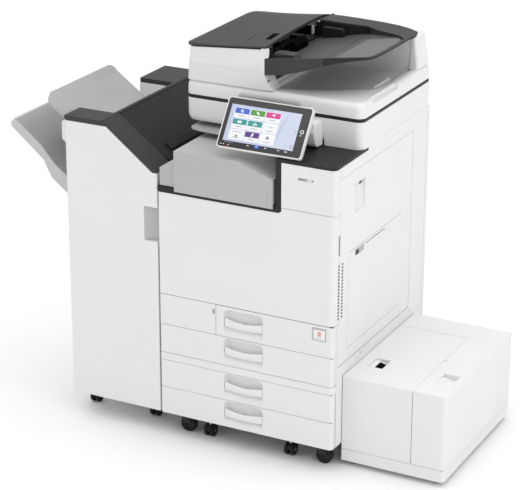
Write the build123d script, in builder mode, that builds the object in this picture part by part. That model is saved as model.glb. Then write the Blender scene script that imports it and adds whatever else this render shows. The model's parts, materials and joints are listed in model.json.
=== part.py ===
from build123d import *
import os

# Photocopier: a floor-standing colour copier with a paper bank under it, a document
# feeder and touch panel on top, a finisher on its left and a large paper tray on its
# right. Millimetres, +Z up. Machine coordinates run from the main unit's left face (x),
# its front face (y) and the floor (z); CENTRE_X and CENTRE_Y move them so that the origin
# is under the middle of the whole machine.

# ---- driving dimensions --------------------------------------------------------------
MAIN_WIDTH = 587.0
MAIN_DEPTH = 685.0
SHEET = 2.0                  # pressed steel
SHELL = 3.0                  # moulded cover
GAP = 1.0                    # between neighbouring covers
CORNER_R = 20.0              # upright front corner on the right
FRONT_T = 22.0               # thickness of a drawer's front

BANK_BOTTOM = 75.0
ROW_LINES = (75.0, 165.5, 256.5, 282.6, 376.7, 476.4)   # from the lowest front upwards
DOOR_TOP_LEFT = 806.0
DOOR_TOP_RIGHT = 822.0
COVER_TOP = 962.0
BLACK_TOP = 970.0
BLACK_BACK = 222.0           # rear edge of the black plate under the panel
BAY_RIGHT = 411.0            # right end of the open output bay
SEAM_Y = 38.0                # front edge of the right door
SIDE_Y = 558.0               # rear edge of the right door
SIDE_DOOR = (337.0, 926.0)

SCANNER_FRONT = 178.0
SCANNER_BACK = 682.0
SCANNER_Z = (976.0, 1054.0)
COVER_Z = (1065.0, 1110.0)   # platen cover plate
FEEDER_RIGHT = 264.0
FEEDER_TOP = (1213.0, 1233.0)          # at its left shoulder and its right end
FEEDER_COVER_TOP = (1228.0, 1249.0)    # at its left shoulder and its right end

FIN_LEFT, FIN_RIGHT, FIN_BACK = -325.0, -4.0, 612.0
FIN_TOP = 984.0
FIN_CAP_TOP = 998.0
SLOPE = ((-190.0, 1002.0), (-20.0, 864.0))
TRAY_TIP = -556.0

BRIDGE_PROUD = 4.0           # how far the bridge unit stands out of the front

LCT_LEFT, LCT_RIGHT = 589.0, 922.5
LCT_FRONT, LCT_BACK = 67.0, 605.0
LCT_Z = (17.6, 297.0)
LCT_SPLIT = 815.5
LCT_LID_BACK = 498.0

WHEEL_R = 26.0
WHEEL_W = 22.0
TRAIL = 14.0                 # from a front caster's swivel axis to its axle
CASTER_X = (65.0, 537.0)
CASTER_Y = (60.0, 620.0)
TWIN_X = (141.5, 421.5)

CENTRE_X = (TRAY_TIP + LCT_RIGHT) / 2
CENTRE_Y = (MAIN_DEPTH - BRIDGE_PROUD) / 2

FLOOR = Plane(origin=(-CENTRE_X, -CENTRE_Y, 0))
FRONT = Plane(origin=(-CENTRE_X, -CENTRE_Y, 0), x_dir=(1, 0, 0), z_dir=(0, -1, 0))
SIDE = Plane(origin=(-CENTRE_X, -CENTRE_Y, 0), x_dir=(0, 1, 0), z_dir=(1, 0, 0))

os.makedirs("parts", exist_ok=True)


def front_at(y):
    """The upright plane at depth y, facing forward: sketch x, y are machine x, z."""
    return FRONT.offset(-y)


def block(x, y, z, mode=Mode.ADD):
    """A box between two corners: x, y and z are (low, high) pairs."""
    with Locations((x[0] - CENTRE_X, y[0] - CENTRE_Y, z[0])):
        return Box(
            x[1] - x[0], y[1] - y[0], z[1] - z[0],
            align=(Align.MIN, Align.MIN, Align.MIN), mode=mode,
        )


def rod(centre, radius, y, mode=Mode.ADD):
    """A round bar along Y at centre (x, z)."""
    with BuildSketch(front_at(y[0])) as profile:
        with Locations(centre):
            Circle(radius)
    return extrude(profile.sketch, amount=y[0] - y[1], mode=mode)


def cross_rod(centre, radius, x, mode=Mode.ADD):
    """A round bar along X at centre (y, z)."""
    with BuildSketch(SIDE.offset(x[0])) as profile:
        with Locations(centre):
            Circle(radius)
    return extrude(profile.sketch, amount=x[1] - x[0], mode=mode)


def post(centre, radius, z, mode=Mode.ADD):
    """A round bar along Z at centre (x, y)."""
    with BuildSketch(FLOOR.offset(z[0])) as profile:
        with Locations(centre):
            Circle(radius)
    return extrude(profile.sketch, amount=z[1] - z[0], mode=mode)


def front_outline(points, y, mode=Mode.ADD):
    """A polygon of (x, z) points, pushed back from y[0] to y[1]."""
    with BuildSketch(front_at(y[0])) as profile:
        with BuildLine():
            Polyline(*points, close=True)
        make_face()
    return extrude(profile.sketch, amount=y[0] - y[1], mode=mode)


def plan_outline(points, z, mode=Mode.ADD):
    """A polygon of (x, y) points, raised from z[0] to z[1]."""
    with BuildSketch(FLOOR.offset(z[0])) as profile:
        with BuildLine():
            Polyline(*points, close=True)
        make_face()
    return extrude(profile.sketch, amount=z[1] - z[0], mode=mode)


def upright_edges(part, x, y):
    """The part's vertical edges at machine position (x, y)."""
    return part.edges().filter_by(Axis.Z).filter_by(
        lambda e: abs(e.center().X + CENTRE_X - x) < 0.6
        and abs(e.center().Y + CENTRE_Y - y) < 0.6
    )


def save(builder, name):
    builder.part.label = name
    export_step(builder.part, "parts/" + name + ".step")


def front_face(x, z):
    """A flat drawer front with a rounded upright right corner."""
    with BuildPart() as panel:
        block(x, (0, FRONT_T), z)
        fillet(upright_edges(panel.part, x[1], 0), CORNER_R)
    return panel


# ---- steel frames ----------------------------------------------------------------------
BANK_TOP = 262.0
FRAME_X = (8.0, 557.0)
FRAME_Y = (34.0, 664.0)
PLATE_FIT = 0.1              # between neighbouring plates of the main frame

with BuildPart() as bank_frame:
    block((8, 579), FRAME_Y, (62, 62 + SHEET))
    block((8, 579), FRAME_Y, (BANK_TOP - SHEET, BANK_TOP))
    block((8, 8 + SHEET), FRAME_Y, (62, BANK_TOP))
    block((FRAME_X[1] - SHEET, FRAME_X[1]), FRAME_Y, (62, BANK_TOP))
    block((8, 579), (FRAME_Y[1] - SHEET, FRAME_Y[1]), (62, BANK_TOP))
    for rail_z in (ROW_LINES[0] + 1, ROW_LINES[1] + 1):
        block((10, 18), (40, 640), (rail_z, rail_z + 3))
        block((548, 555), (40, 640), (rail_z, rail_z + 3))
save(bank_frame, "bank_frame")

ROLLER_Z = 770.0
FUSER_X = 496.0
FUSER_R = 20.0
SHAFT_R = 6.0
PRESS_X = FUSER_X + 2 * FUSER_R + 0.4
SHAFT_FIT = 0.05
BEARING_Y = ((84.0, 92.0), (520.0, 528.0))

WALL_LOW = BANK_TOP + SHEET + PLATE_FIT
WALL_BACK = FRAME_Y[1] - SHEET - PLATE_FIT
BAY_FLOOR = (804.0, 806.0)
COLUMN_TOP = (958.0, 960.0)
REAR_TOP = (972.0, 974.0)
COLUMN_Y = 604.0
with BuildPart() as main_frame:
    # flat plates, each resting on its neighbour with a hair of clearance
    block((8, 579), FRAME_Y, (BANK_TOP, BANK_TOP + SHEET))
    block((8, 8 + SHEET), (FRAME_Y[0], WALL_BACK), (WALL_LOW, BAY_FLOOR[0] - PLATE_FIT))
    block((FRAME_X[1] - SHEET, FRAME_X[1]), (FRAME_Y[0], WALL_BACK),
          (WALL_LOW, COLUMN_TOP[0] - PLATE_FIT))
    block((FRAME_X[1] - SHEET, FRAME_X[1]), (76, 536), (340, 915), mode=Mode.SUBTRACT)
    block((8, 579), (FRAME_Y[1] - SHEET, FRAME_Y[1]), (WALL_LOW, REAR_TOP[0] - PLATE_FIT))
    block((8 + SHEET + PLATE_FIT, FRAME_X[1] - SHEET - PLATE_FIT), (FRAME_Y[0], WALL_BACK),
          (ROW_LINES[5] + 1, ROW_LINES[5] + 3))
    block((8, BAY_RIGHT), (FRAME_Y[0], WALL_BACK), BAY_FLOOR)
    block((BAY_RIGHT - SHEET, BAY_RIGHT), (FRAME_Y[0], WALL_BACK),
          (BAY_FLOOR[1] + PLATE_FIT, COLUMN_TOP[0] - PLATE_FIT))
    block((BAY_RIGHT - SHEET, 579), (FRAME_Y[0], COLUMN_Y - PLATE_FIT), COLUMN_TOP)
    block((8 + SHEET + PLATE_FIT, BAY_RIGHT - SHEET - PLATE_FIT), (COLUMN_Y, COLUMN_Y + SHEET),
          (BAY_FLOOR[1] + PLATE_FIT, REAR_TOP[0] - PLATE_FIT))
    block((8, 8 + SHEET), (COLUMN_Y, WALL_BACK),
          (BAY_FLOOR[1] + PLATE_FIT, REAR_TOP[0] - PLATE_FIT))
    block((8, 579), (COLUMN_Y, FRAME_Y[1]), REAR_TOP)
    for bearing in BEARING_Y:
        block((466, FRAME_X[1] - SHEET - PLATE_FIT), bearing, (730, 810))
    for shaft_x in (FUSER_X, PRESS_X):
        rod((shaft_x, ROLLER_Z), SHAFT_R + SHAFT_FIT, (80, 532), mode=Mode.SUBTRACT)
    # the box behind the power switch
    block((60, 130), (34, 36), (400, 460))
    for side_x in (60, 128):
        block((side_x, side_x + SHEET), (36, 56), (400, ROW_LINES[5] + 1 - PLATE_FIT))
    block((82, 108), (33, 37), (419, 441), mode=Mode.SUBTRACT)
save(main_frame, "main_frame")

# ---- outer covers ----------------------------------------------------------------------
with BuildPart() as left_cover:
    block((0, 4), (40, 666), (BANK_BOTTOM, 804))
    block((0, 4), (604, 666), (804, 974))
    for row in range(14):
        block((-1, 5), (520, 600), (600 + row * 10, 604 + row * 10), mode=Mode.SUBTRACT)
save(left_cover, "left_cover")

INLET_X = (86.0, 114.0)
INLET_Z = (196.0, 218.0)
with BuildPart() as rear_cover:
    block((0, MAIN_WIDTH), (668, MAIN_DEPTH), (BANK_BOTTOM, 974))
    block((SHELL, MAIN_WIDTH - SHELL), (667, MAIN_DEPTH - SHELL), (BANK_BOTTOM + SHELL, 971),
          mode=Mode.SUBTRACT)
    block(INLET_X, (660, 690), INLET_Z, mode=Mode.SUBTRACT)
    for column in range(3):
        for row in range(12):
            left = 110 + column * 130
            block((left, left + 100), (675, 690), (700 + row * 12, 705 + row * 12),
                  mode=Mode.SUBTRACT)
save(rear_cover, "rear_cover")

with BuildPart() as right_cover:
    block((MAIN_WIDTH - 4, MAIN_WIDTH), (26, 666), (BANK_BOTTOM, 334.5))
    block((MAIN_WIDTH - 4, MAIN_WIDTH), (SIDE_Y + GAP, 666), (334.5, COVER_TOP))
    block((MAIN_WIDTH - 4, MAIN_WIDTH), (SEAM_Y + GAP, SIDE_Y + GAP),
          (SIDE_DOOR[1] + GAP, COVER_TOP))
    block((1, MAIN_WIDTH), (0, 20), (ROW_LINES[2] + GAP, ROW_LINES[3] - GAP))
    block((MAIN_WIDTH - 4, MAIN_WIDTH), (15, 30), (ROW_LINES[2] + GAP, ROW_LINES[3] - GAP))
    block((MAIN_WIDTH - 4, MAIN_WIDTH), (BLACK_BACK + GAP, 666),
          (COVER_TOP - 1, SCANNER_Z[0] - 0.6))
    fillet(upright_edges(right_cover.part, MAIN_WIDTH, 0), CORNER_R - 6)
save(right_cover, "right_cover")

UPPER_T = 24.0
with BuildPart() as front_upper_cover:
    block((BAY_RIGHT + GAP, MAIN_WIDTH), (0, UPPER_T), (DOOR_TOP_RIGHT + GAP, COVER_TOP - 0.5))
    block((MAIN_WIDTH - 6, MAIN_WIDTH), (UPPER_T, SEAM_Y - GAP),
          (DOOR_TOP_RIGHT + GAP, COVER_TOP - 0.5))
    fillet(upright_edges(front_upper_cover.part, MAIN_WIDTH, 0), CORNER_R)
    block((BAY_RIGHT + 6, MAIN_WIDTH - 24), (SHELL, UPPER_T + 1),
          (DOOR_TOP_RIGHT + 6, COVER_TOP - 6), mode=Mode.SUBTRACT)
save(front_upper_cover, "front_upper_cover")

TRIM_Z = (807.0, 825.0)
TRIM_LEFT = 394.0
with BuildPart() as black_trim:
    block((0, BAY_RIGHT), (0.5, 30), TRIM_Z)
    block((TRIM_LEFT, BAY_RIGHT), (0.5, 30), (TRIM_Z[0], COVER_TOP))
    block((TRIM_LEFT, MAIN_WIDTH), (0, BLACK_BACK), (COVER_TOP, BLACK_TOP))
    fillet(upright_edges(black_trim.part, MAIN_WIDTH, 0), CORNER_R)
    trim_corner = black_trim.edges().filter_by(Axis.Y).filter_by(
        lambda e: abs(e.center().X + CENTRE_X - BAY_RIGHT) < 0.1
        and abs(e.center().Z - TRIM_Z[0]) < 0.1)
    fillet(trim_corner, 8)
save(black_trim, "black_trim")

# ---- front door and its neighbours -------------------------------------------------------
DOOR_T = 26.0
DOOR_RETURN = 12.0
door_right = MAIN_WIDTH - 0.5
door_points = [
    (1, ROW_LINES[5] + 1), (door_right, ROW_LINES[5] + 1), (door_right, DOOR_TOP_RIGHT),
    (BAY_RIGHT + 1.5, DOOR_TOP_RIGHT), (BAY_RIGHT + 1.5, 812), (404, 805.5), (1, 805.5),
]
with BuildPart() as front_door:
    front_outline(door_points, (0, DOOR_T))
    block((door_right - DOOR_RETURN, door_right), (DOOR_T, SEAM_Y - GAP),
          (ROW_LINES[5] + 1, DOOR_TOP_RIGHT))
    fillet(upright_edges(front_door.part, door_right, 0), CORNER_R)
    block((18, 560), (SHELL, DOOR_T + 1), (ROW_LINES[5] + 14, 790), mode=Mode.SUBTRACT)
    block((door_right - 5, MAIN_WIDTH + 1), (27, SEAM_Y + 1), (693, 755), mode=Mode.SUBTRACT)
    for row in range(17):
        slot_z = 492 + row * 10.4
        block((door_right - 4, MAIN_WIDTH + 1), (29, 34), (slot_z, slot_z + 5),
              mode=Mode.SUBTRACT)
save(front_door, "front_door")

SWITCH_SPLIT = 194.0
with BuildPart() as switch_cover:
    block((1, SWITCH_SPLIT - 0.5), (0, 18), (ROW_LINES[4] + 0.6, ROW_LINES[5] - 0.6))
    block((14, SWITCH_SPLIT - 12), (SHELL, 19), (ROW_LINES[4] + 10, ROW_LINES[5] - 10),
          mode=Mode.SUBTRACT)
    block((182, 190), (-1, 2), (445, 460), mode=Mode.SUBTRACT)
save(switch_cover, "switch_cover")

SWITCH_AXIS = (30.0, 430.0)
with BuildPart() as power_switch:
    block((83.5, 106.5), (22, 34), (420.5, 439.5))
    cross_rod(SWITCH_AXIS, 3, (83.5, 106.5))
save(power_switch, "power_switch")

# ---- paper drawers ------------------------------------------------------------------------
GRIP_X = (221.0, 354.0)
GRIP_DEPTH = 17.0
GRIP_RISE = 85.0
GRIP_FOOT = 6.0
BAR_RISE = (30.0, 52.0)
DRAWER_BACK = 600.0
drawer_rows = [
    ("drawer_4", 0, 1.0, (22, 546)),
    ("drawer_3", 1, 1.0, (22, 546)),
    ("drawer_2", 3, 1.0, (22, 546)),
    ("drawer_1", 4, SWITCH_SPLIT + 0.5, (204, 546)),
]
for name, row, face_left, tray_x in drawer_rows:
    low = ROW_LINES[row] + 0.6
    high = ROW_LINES[row + 1] - 0.6
    if row == 1:
        high = ROW_LINES[2] - 0.2
    panel = front_face((face_left, MAIN_WIDTH - 0.5), (low, high))
    grip_low = low + GRIP_FOOT - 0.6
    with BuildPart() as drawer_front:
        add(panel.part)
        block(GRIP_X, (-1, GRIP_DEPTH), (grip_low, min(grip_low + GRIP_RISE, high - 3)),
              mode=Mode.SUBTRACT)
        block((GRIP_X[0] - 1, GRIP_X[1] + 1), (1.5, 8),
              (grip_low + BAR_RISE[0], grip_low + BAR_RISE[1]))
        if name == "drawer_1":
            block((517, 562), (-1, 2), (427, 467), mode=Mode.SUBTRACT)
    save(drawer_front, name + "_front")

    floor_z = low + 4.5
    rim_z = high - 5
    with BuildPart() as drawer_tray:
        block(tray_x, (FRONT_T, DRAWER_BACK), (floor_z, rim_z))
        block((tray_x[0] + SHEET, tray_x[1] - SHEET), (FRONT_T + SHEET, DRAWER_BACK - SHEET),
              (floor_z + SHEET, rim_z + 1), mode=Mode.SUBTRACT)
        fence_x = tray_x[0] + 40
        block((fence_x, fence_x + 3), (440, 500), (floor_z + 1, rim_z - 12))
        block((tray_x[0] + 120, tray_x[0] + 160), (560, 563), (floor_z + 1, rim_z - 12))
    save(drawer_tray, name + "_tray")

# ---- right door and bypass tray -------------------------------------------------------------
DOOR_X = (561.0, MAIN_WIDTH)
BYPASS_Y = (100.0, 478.0)
BYPASS_Z = (374.0, 682.0)
BYPASS_X = 575.0
POCKET_Y = (137.0, 205.0)
POCKET_Z = (796.0, 883.0)
with BuildPart() as right_door:
    block(DOOR_X, (SEAM_Y, SIDE_Y - GAP), SIDE_DOOR)
    block((DOOR_X[0] - 1, BYPASS_X - 6), (60, 540), (360, 905), mode=Mode.SUBTRACT)
    block((BYPASS_X - 1.5, MAIN_WIDTH + 1), BYPASS_Y, BYPASS_Z, mode=Mode.SUBTRACT)
    block((MAIN_WIDTH - 14, MAIN_WIDTH + 1), POCKET_Y, POCKET_Z, mode=Mode.SUBTRACT)
    for row in range(17):
        slot_z = 492 + row * 10.4
        block((MAIN_WIDTH - 5, MAIN_WIDTH + 1), (50, 59), (slot_z, slot_z + 5),
              mode=Mode.SUBTRACT)
save(right_door, "right_door")

with BuildPart() as bypass_tray:
    block((BYPASS_X, MAIN_WIDTH), (BYPASS_Y[0] + GAP, BYPASS_Y[1] - GAP),
          (BYPASS_Z[0] + 2 * GAP, BYPASS_Z[1] - GAP))
    block((BYPASS_X - 1, BYPASS_X + 7), (112, 466), (400, 660), mode=Mode.SUBTRACT)
    block((MAIN_WIDTH - 5, MAIN_WIDTH + 1), (141, 204), (656, 676), mode=Mode.SUBTRACT)
save(bypass_tray, "bypass_tray")

# ---- inside the main unit ----------------------------------------------------------------------
for name, centre_x in (("fuser_roller", FUSER_X), ("pressure_roller", PRESS_X)):
    with BuildPart() as roller:
        rod((centre_x, ROLLER_Z), FUSER_R, (94, 518))
        rod((centre_x, ROLLER_Z), SHAFT_R, (80, 532))
    save(roller, name)

with BuildPart() as laser_unit:
    block((60, 420), (120, 560), (484, 530))
    block((64, 416), (124, 556), (488, 526), mode=Mode.SUBTRACT)
save(laser_unit, "laser_unit")

UNIT_PITCH = 92.0
with BuildPart() as imaging_units:
    for unit in range(4):
        unit_x = 92 + unit * UNIT_PITCH
        rod((unit_x, 566), 15, (70, 560))
        block((unit_x - 34, unit_x + 24), (70, 560), (534, 551.5))
save(imaging_units, "imaging_units")

with BuildPart() as transfer_unit:
    with BuildSketch(front_at(70)) as belt_profile:
        with Locations((240, 614)):
            SlotOverall(400, 60)
            SlotOverall(396, 56, mode=Mode.SUBTRACT)
    extrude(amount=-490)
    rod((70, 614), 27, (74, 556))
    rod((410, 614), 27, (74, 556))
save(transfer_unit, "transfer_unit")

with BuildPart() as toner_bottles:
    for unit in range(4):
        bottle_x = 92 + unit * UNIT_PITCH
        rod((bottle_x, 716), 32, (70, 560))
        rod((bottle_x, 716), 20, (54, 70))
        rod((bottle_x, 716), 29, (73, 557), mode=Mode.SUBTRACT)
save(toner_bottles, "toner_bottles")

with BuildPart() as power_inlet:
    block((INLET_X[0] + 0.2, INLET_X[1] - 0.2), (664, MAIN_DEPTH), (INLET_Z[0] + 0.2, INLET_Z[1] - 0.2))
    block((INLET_X[0] + 2.5, INLET_X[1] - 2.5), (669, MAIN_DEPTH + 1),
          (INLET_Z[0] + 3, INLET_Z[1] - 3), mode=Mode.SUBTRACT)
    for pin_x, pin_z in ((93, 205), (107, 205), (100, 210)):
        block((pin_x - 1, pin_x + 1), (668, 683), (pin_z - 2, pin_z + 2))
save(power_inlet, "power_inlet")

# ---- output bay --------------------------------------------------------------------------------
with BuildPart() as bridge_unit:
    front_outline([(57, 827), (57, 943), (275, 943), (386, 905), (386, 827)], (0, 590))
    front_outline([(57, 815.5), (386, 815.5), (386, 830), (57, 830)], (-BRIDGE_PROUD, 0.3))
    front_outline([(57, 820), (57, 943), (275, 943), (386, 905), (386, 820)], (-BRIDGE_PROUD, 0.3))
    block((4, 58), (4, 590), (827, 882))
    block((10, 380), (8, 584), (831, 876), mode=Mode.SUBTRACT)
    block((62, 270), (8, 584), (875, 938), mode=Mode.SUBTRACT)
save(bridge_unit, "bridge_unit")

with BuildPart() as one_bin_tray:
    block((30, 384), (110, 560), (962, 966))
    block((30, 384), (556, 600), (962, 970))
    fillet(upright_edges(one_bin_tray.part, 30, 110), 18)
save(one_bin_tray, "one_bin_tray")

# ---- scanner -----------------------------------------------------------------------------------
with BuildPart() as scanner_housing:
    block((0, MAIN_WIDTH), (SCANNER_FRONT, SCANNER_BACK), SCANNER_Z)
    under = scanner_housing.edges().filter_by(Axis.X).filter_by(
        lambda e: abs(e.center().Z - SCANNER_Z[0]) < 0.1
        and e.center().Y + CENTRE_Y < SCANNER_FRONT + 1)
    fillet(under, 34)
    block((6, 581), (216, 676), (982, 1047), mode=Mode.SUBTRACT)
    block((54, 500), (226, 530), (1040, 1051), mode=Mode.SUBTRACT)
    block((50, 504), (222, 534), (1050.5, 1056), mode=Mode.SUBTRACT)
    block((18, 40), (226, 530), (1040, 1051), mode=Mode.SUBTRACT)
    block((14, 44), (222, 534), (1050.5, 1056), mode=Mode.SUBTRACT)
save(scanner_housing, "scanner_housing")

with BuildPart() as scanner_trim:
    block((0, MAIN_WIDTH), (SCANNER_FRONT + 1, SCANNER_BACK), (1054, 1063))
    block((8, 579), (188, 672), (1053, 1064), mode=Mode.SUBTRACT)
save(scanner_trim, "scanner_trim")

with BuildPart() as platen_glass:
    block((50.3, 503.7), (222.3, 533.7), (1050.5, 1054))
    block((14.3, 43.7), (222.3, 533.7), (1050.5, 1054))
save(platen_glass, "platen_glass")

with BuildPart() as scan_carriage:
    block((22, 62), (222, 545), (1006, 1038))
    block((26, 58), (226, 541), (1010, 1034), mode=Mode.SUBTRACT)
    block((34, 42), (230, 530), (1033, 1039), mode=Mode.SUBTRACT)
save(scan_carriage, "scan_carriage")

# ---- operation panel -------------------------------------------------------------------------
PANEL_X = (197.0, 476.0)
PANEL_FOOT = (2.0, 981.0)        # y, z of its lower front edge
PANEL_RISE = 155.0
PANEL_T = 14.0
PANEL_TILT = 55.3
panel_plane = Plane(
    origin=(PANEL_X[0] - CENTRE_X, PANEL_FOOT[0] - CENTRE_Y, PANEL_FOOT[1]),
    x_dir=(1, 0, 0), z_dir=Vector(0, 0, 1).rotate(Axis.X, PANEL_TILT),
)
PIVOT = (108.0, 1014.0)          # y, z of the panel's hinge pin
PIVOT_R = 4.0
panel_width = PANEL_X[1] - PANEL_X[0]
with BuildPart() as panel_housing:
    with BuildSketch(panel_plane) as outline:
        with Locations((panel_width / 2, PANEL_RISE / 2)):
            RectangleRounded(panel_width, PANEL_RISE, 10)
    extrude(amount=-PANEL_T)
    with BuildSketch(panel_plane) as recess:
        with Locations((panel_width / 2, PANEL_RISE / 2)):
            RectangleRounded(panel_width - 10, PANEL_RISE - 10, 7)
    extrude(amount=-2.2, mode=Mode.SUBTRACT)
    for ear_x in (318, 408):
        with BuildSketch(SIDE.offset(ear_x)) as ear:
            with Locations(PIVOT):
                Circle(10)
            with BuildLine():
                Polyline((PIVOT[0] - 4, PIVOT[1] + 9), (PIVOT[0] - 72, PIVOT[1] + 2),
                         (PIVOT[0] - 80, PIVOT[1] - 12), (PIVOT[0] - 4, PIVOT[1] - 9), close=True)
            make_face()
        extrude(amount=8)
        cross_rod(PIVOT, PIVOT_R + SHAFT_FIT, (ear_x - 1, ear_x + 9), mode=Mode.SUBTRACT)
save(panel_housing, "panel_housing")

with BuildPart() as panel_screen:
    with BuildSketch(panel_plane.offset(-2.2)) as glass_outline:
        with Locations((panel_width / 2, PANEL_RISE / 2)):
            RectangleRounded(panel_width - 10.6, PANEL_RISE - 10.6, 6.7)
    extrude(amount=2)
save(panel_screen, "panel_screen")

with BuildPart() as panel_mount:
    with BuildSketch(SIDE.offset(330)) as arm:
        with Locations(PIVOT):
            Circle(9)
        with BuildLine():
            Polyline((PIVOT[0] - 3, PIVOT[1] + 8.4), (SCANNER_FRONT - 0.5, PIVOT[1] + 26),
                     (SCANNER_FRONT - 0.5, PIVOT[1] - 2), (PIVOT[0] + 14, BLACK_TOP + 10),
                     (PIVOT[0] - 3, PIVOT[1] - 8.4), close=True)
        make_face()
    extrude(amount=74)
    cross_rod(PIVOT, PIVOT_R, (317, 417))
    block((420, 476), (124, SCANNER_FRONT - 0.5), (BLACK_TOP + 0.2, 1030))
    block((400, 422), (140, SCANNER_FRONT - 0.5), (BLACK_TOP + 6, 1028))
save(panel_mount, "panel_mount")

# ---- platen cover and document feeder ----------------------------------------------------------
REAR_WALL_TOP = 1211.0
EXIT_X = (300.0, 552.0)
EXIT_Y = (200.0, 560.0)
with BuildPart() as platen_cover:
    block((0, MAIN_WIDTH), (SCANNER_FRONT, SCANNER_BACK), COVER_Z)
    top_edges = platen_cover.faces().sort_by(Axis.Z)[-1].edges()
    fillet(top_edges.filter_by(Axis.X).sort_by(Axis.Y)[0], 10)
    block((8, 579), (188, 672), (COVER_Z[0] - 1, COVER_Z[0] + 20), mode=Mode.SUBTRACT)
    front_outline([(524, COVER_Z[1] - 1), (581, COVER_Z[1] - 1), (579, COVER_Z[1] + 2), (566, 1160),
                   (548, 1203), (541, REAR_WALL_TOP), (524, REAR_WALL_TOP)], (566, SCANNER_BACK))
    block((FEEDER_RIGHT + 2, 526), (618, SCANNER_BACK), (COVER_Z[1] - 1, REAR_WALL_TOP))
    with BuildSketch(front_at(EXIT_Y[0])) as scoop:
        with BuildLine():
            ThreePointArc((EXIT_X[0], COVER_Z[1]), (400, COVER_Z[1] - 16),
                          (EXIT_X[1], COVER_Z[1]))
            Line((EXIT_X[1], COVER_Z[1]), (EXIT_X[1], COVER_Z[1] + 1))
            Line((EXIT_X[1], COVER_Z[1] + 1), (EXIT_X[0], COVER_Z[1] + 1))
            Line((EXIT_X[0], COVER_Z[1] + 1), (EXIT_X[0], COVER_Z[1]))
        make_face()
    extrude(amount=EXIT_Y[0] - EXIT_Y[1], mode=Mode.SUBTRACT)
    block((185, 386), (166, SCANNER_FRONT + 1), (1082, 1092))
save(platen_cover, "platen_cover")

with BuildPart() as platen_pad:
    block((48, 512), (218, 540), (1054.4, COVER_Z[0] + 19.8))
save(platen_pad, "platen_pad")

SHOULDER_X = 26.0
with BuildPart() as feeder_housing:
    front_outline([(2, COVER_Z[1] + 0.2), (FEEDER_RIGHT, COVER_Z[1] + 0.2),
                   (FEEDER_RIGHT, FEEDER_TOP[1]), (SHOULDER_X, FEEDER_TOP[0]), (2, 1194)],
                  (178.5, 682))
    fillet(upright_edges(feeder_housing.part, 2, 178.5), 10)
    block((10, FEEDER_RIGHT - 6), (188, 674), (COVER_Z[1] + 8, FEEDER_TOP[0] - 20),
          mode=Mode.SUBTRACT)
    block((40, FEEDER_RIGHT - 6), (230, 560), (FEEDER_TOP[0] - 30, FEEDER_TOP[1] + 1),
          mode=Mode.SUBTRACT)
    block((FEEDER_RIGHT - 8, FEEDER_RIGHT + 1), (234, 550), (1184, FEEDER_TOP[1] + 1),
          mode=Mode.SUBTRACT)
    block((FEEDER_RIGHT - 8, FEEDER_RIGHT + 1), (234, 550), (1122, 1150), mode=Mode.SUBTRACT)
    for ear_y in (300, 450):
        block((210, 240), (ear_y, ear_y + 8), (1180, FEEDER_TOP[0] - 6))
        rod((225, 1196), 4 + SHAFT_FIT, (ear_y - 1, ear_y + 9), mode=Mode.SUBTRACT)
    block((9, 240), (300, 458), (1176, 1180.5))
save(feeder_housing, "feeder_housing")

with BuildPart() as feed_roller:
    rod((225, 1196), 12, (350, 410))
    rod((225, 1196), 4, (296, 462))
save(feed_roller, "feed_roller")

COVER_LEFT = -10.0
COVER_RIGHT = FEEDER_RIGHT + 8
LIP = 14.0                   # thickness of the feeder cover at its right end
with BuildPart() as feeder_cover:
    front_outline([(COVER_LEFT, 1212), (SHOULDER_X - 2, FEEDER_TOP[0] + 1),
                   (COVER_RIGHT, FEEDER_COVER_TOP[1] - LIP), (COVER_RIGHT, FEEDER_COVER_TOP[1]),
                   (120, 1239), (60, 1234), (14, FEEDER_COVER_TOP[0]), (COVER_LEFT, 1214)],
                  (179, 664))
    front_outline([(60, FEEDER_TOP[0]), (COVER_RIGHT + 1, FEEDER_TOP[0]),
                   (COVER_RIGHT + 1, FEEDER_COVER_TOP[1] - LIP + 5), (60, 1223)],
                  (240, 550), mode=Mode.SUBTRACT)
save(feeder_cover, "feeder_cover")

TRAY_X = (FEEDER_RIGHT + 9, 575.0)
TRAY_Y = (190.0, 614.0)
RIM_BACK = 656.0
tray_plan = [
    (TRAY_X[0], TRAY_Y[0]), (452, TRAY_Y[0]), (558, 268), (TRAY_X[1], 300),
    (TRAY_X[1], 562), (556, TRAY_Y[1]), (TRAY_X[0], TRAY_Y[1]),
]
inner_plan = [
    (TRAY_X[0] - 1, TRAY_Y[0] + 8), (448, TRAY_Y[0] + 8), (552, 274), (TRAY_X[1] - 6, 303),
    (TRAY_X[1] - 6, 558), (552, TRAY_Y[1] - 6), (TRAY_X[0] - 1, TRAY_Y[1] - 6),
]
with BuildPart() as tray_well:
    plan_outline(inner_plan, (1140, 1245))
    front_outline([(TRAY_X[0] - 2, 1130), (TRAY_X[0] - 2, 1184), (463, 1214),
                   (580, 1222), (580, 1130)], (180, 670), mode=Mode.SUBTRACT)
with BuildPart() as input_tray:
    plan_outline(tray_plan, (1140, 1240))
    front_outline([(TRAY_X[0] - 2, 1139), (TRAY_X[0] - 2, 1153), (463, 1207), (560, 1216),
                   (580, 1217), (580, 1139)], (180, 670), mode=Mode.SUBTRACT)
    front_outline([(TRAY_X[0] - 2, 1241), (TRAY_X[0] - 2, 1204), (463, 1230), (560, 1229),
                   (580, 1228), (580, 1241)], (180, 670), mode=Mode.SUBTRACT)
    add(tray_well.part, mode=Mode.SUBTRACT)
    front_outline([(TRAY_X[0], 1212.5), (TRAY_X[0], 1228), (450, 1229), (560, 1215), (560, 1212.5)],
                  (TRAY_Y[1] - 4, RIM_BACK))
save(input_tray, "input_tray")

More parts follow.
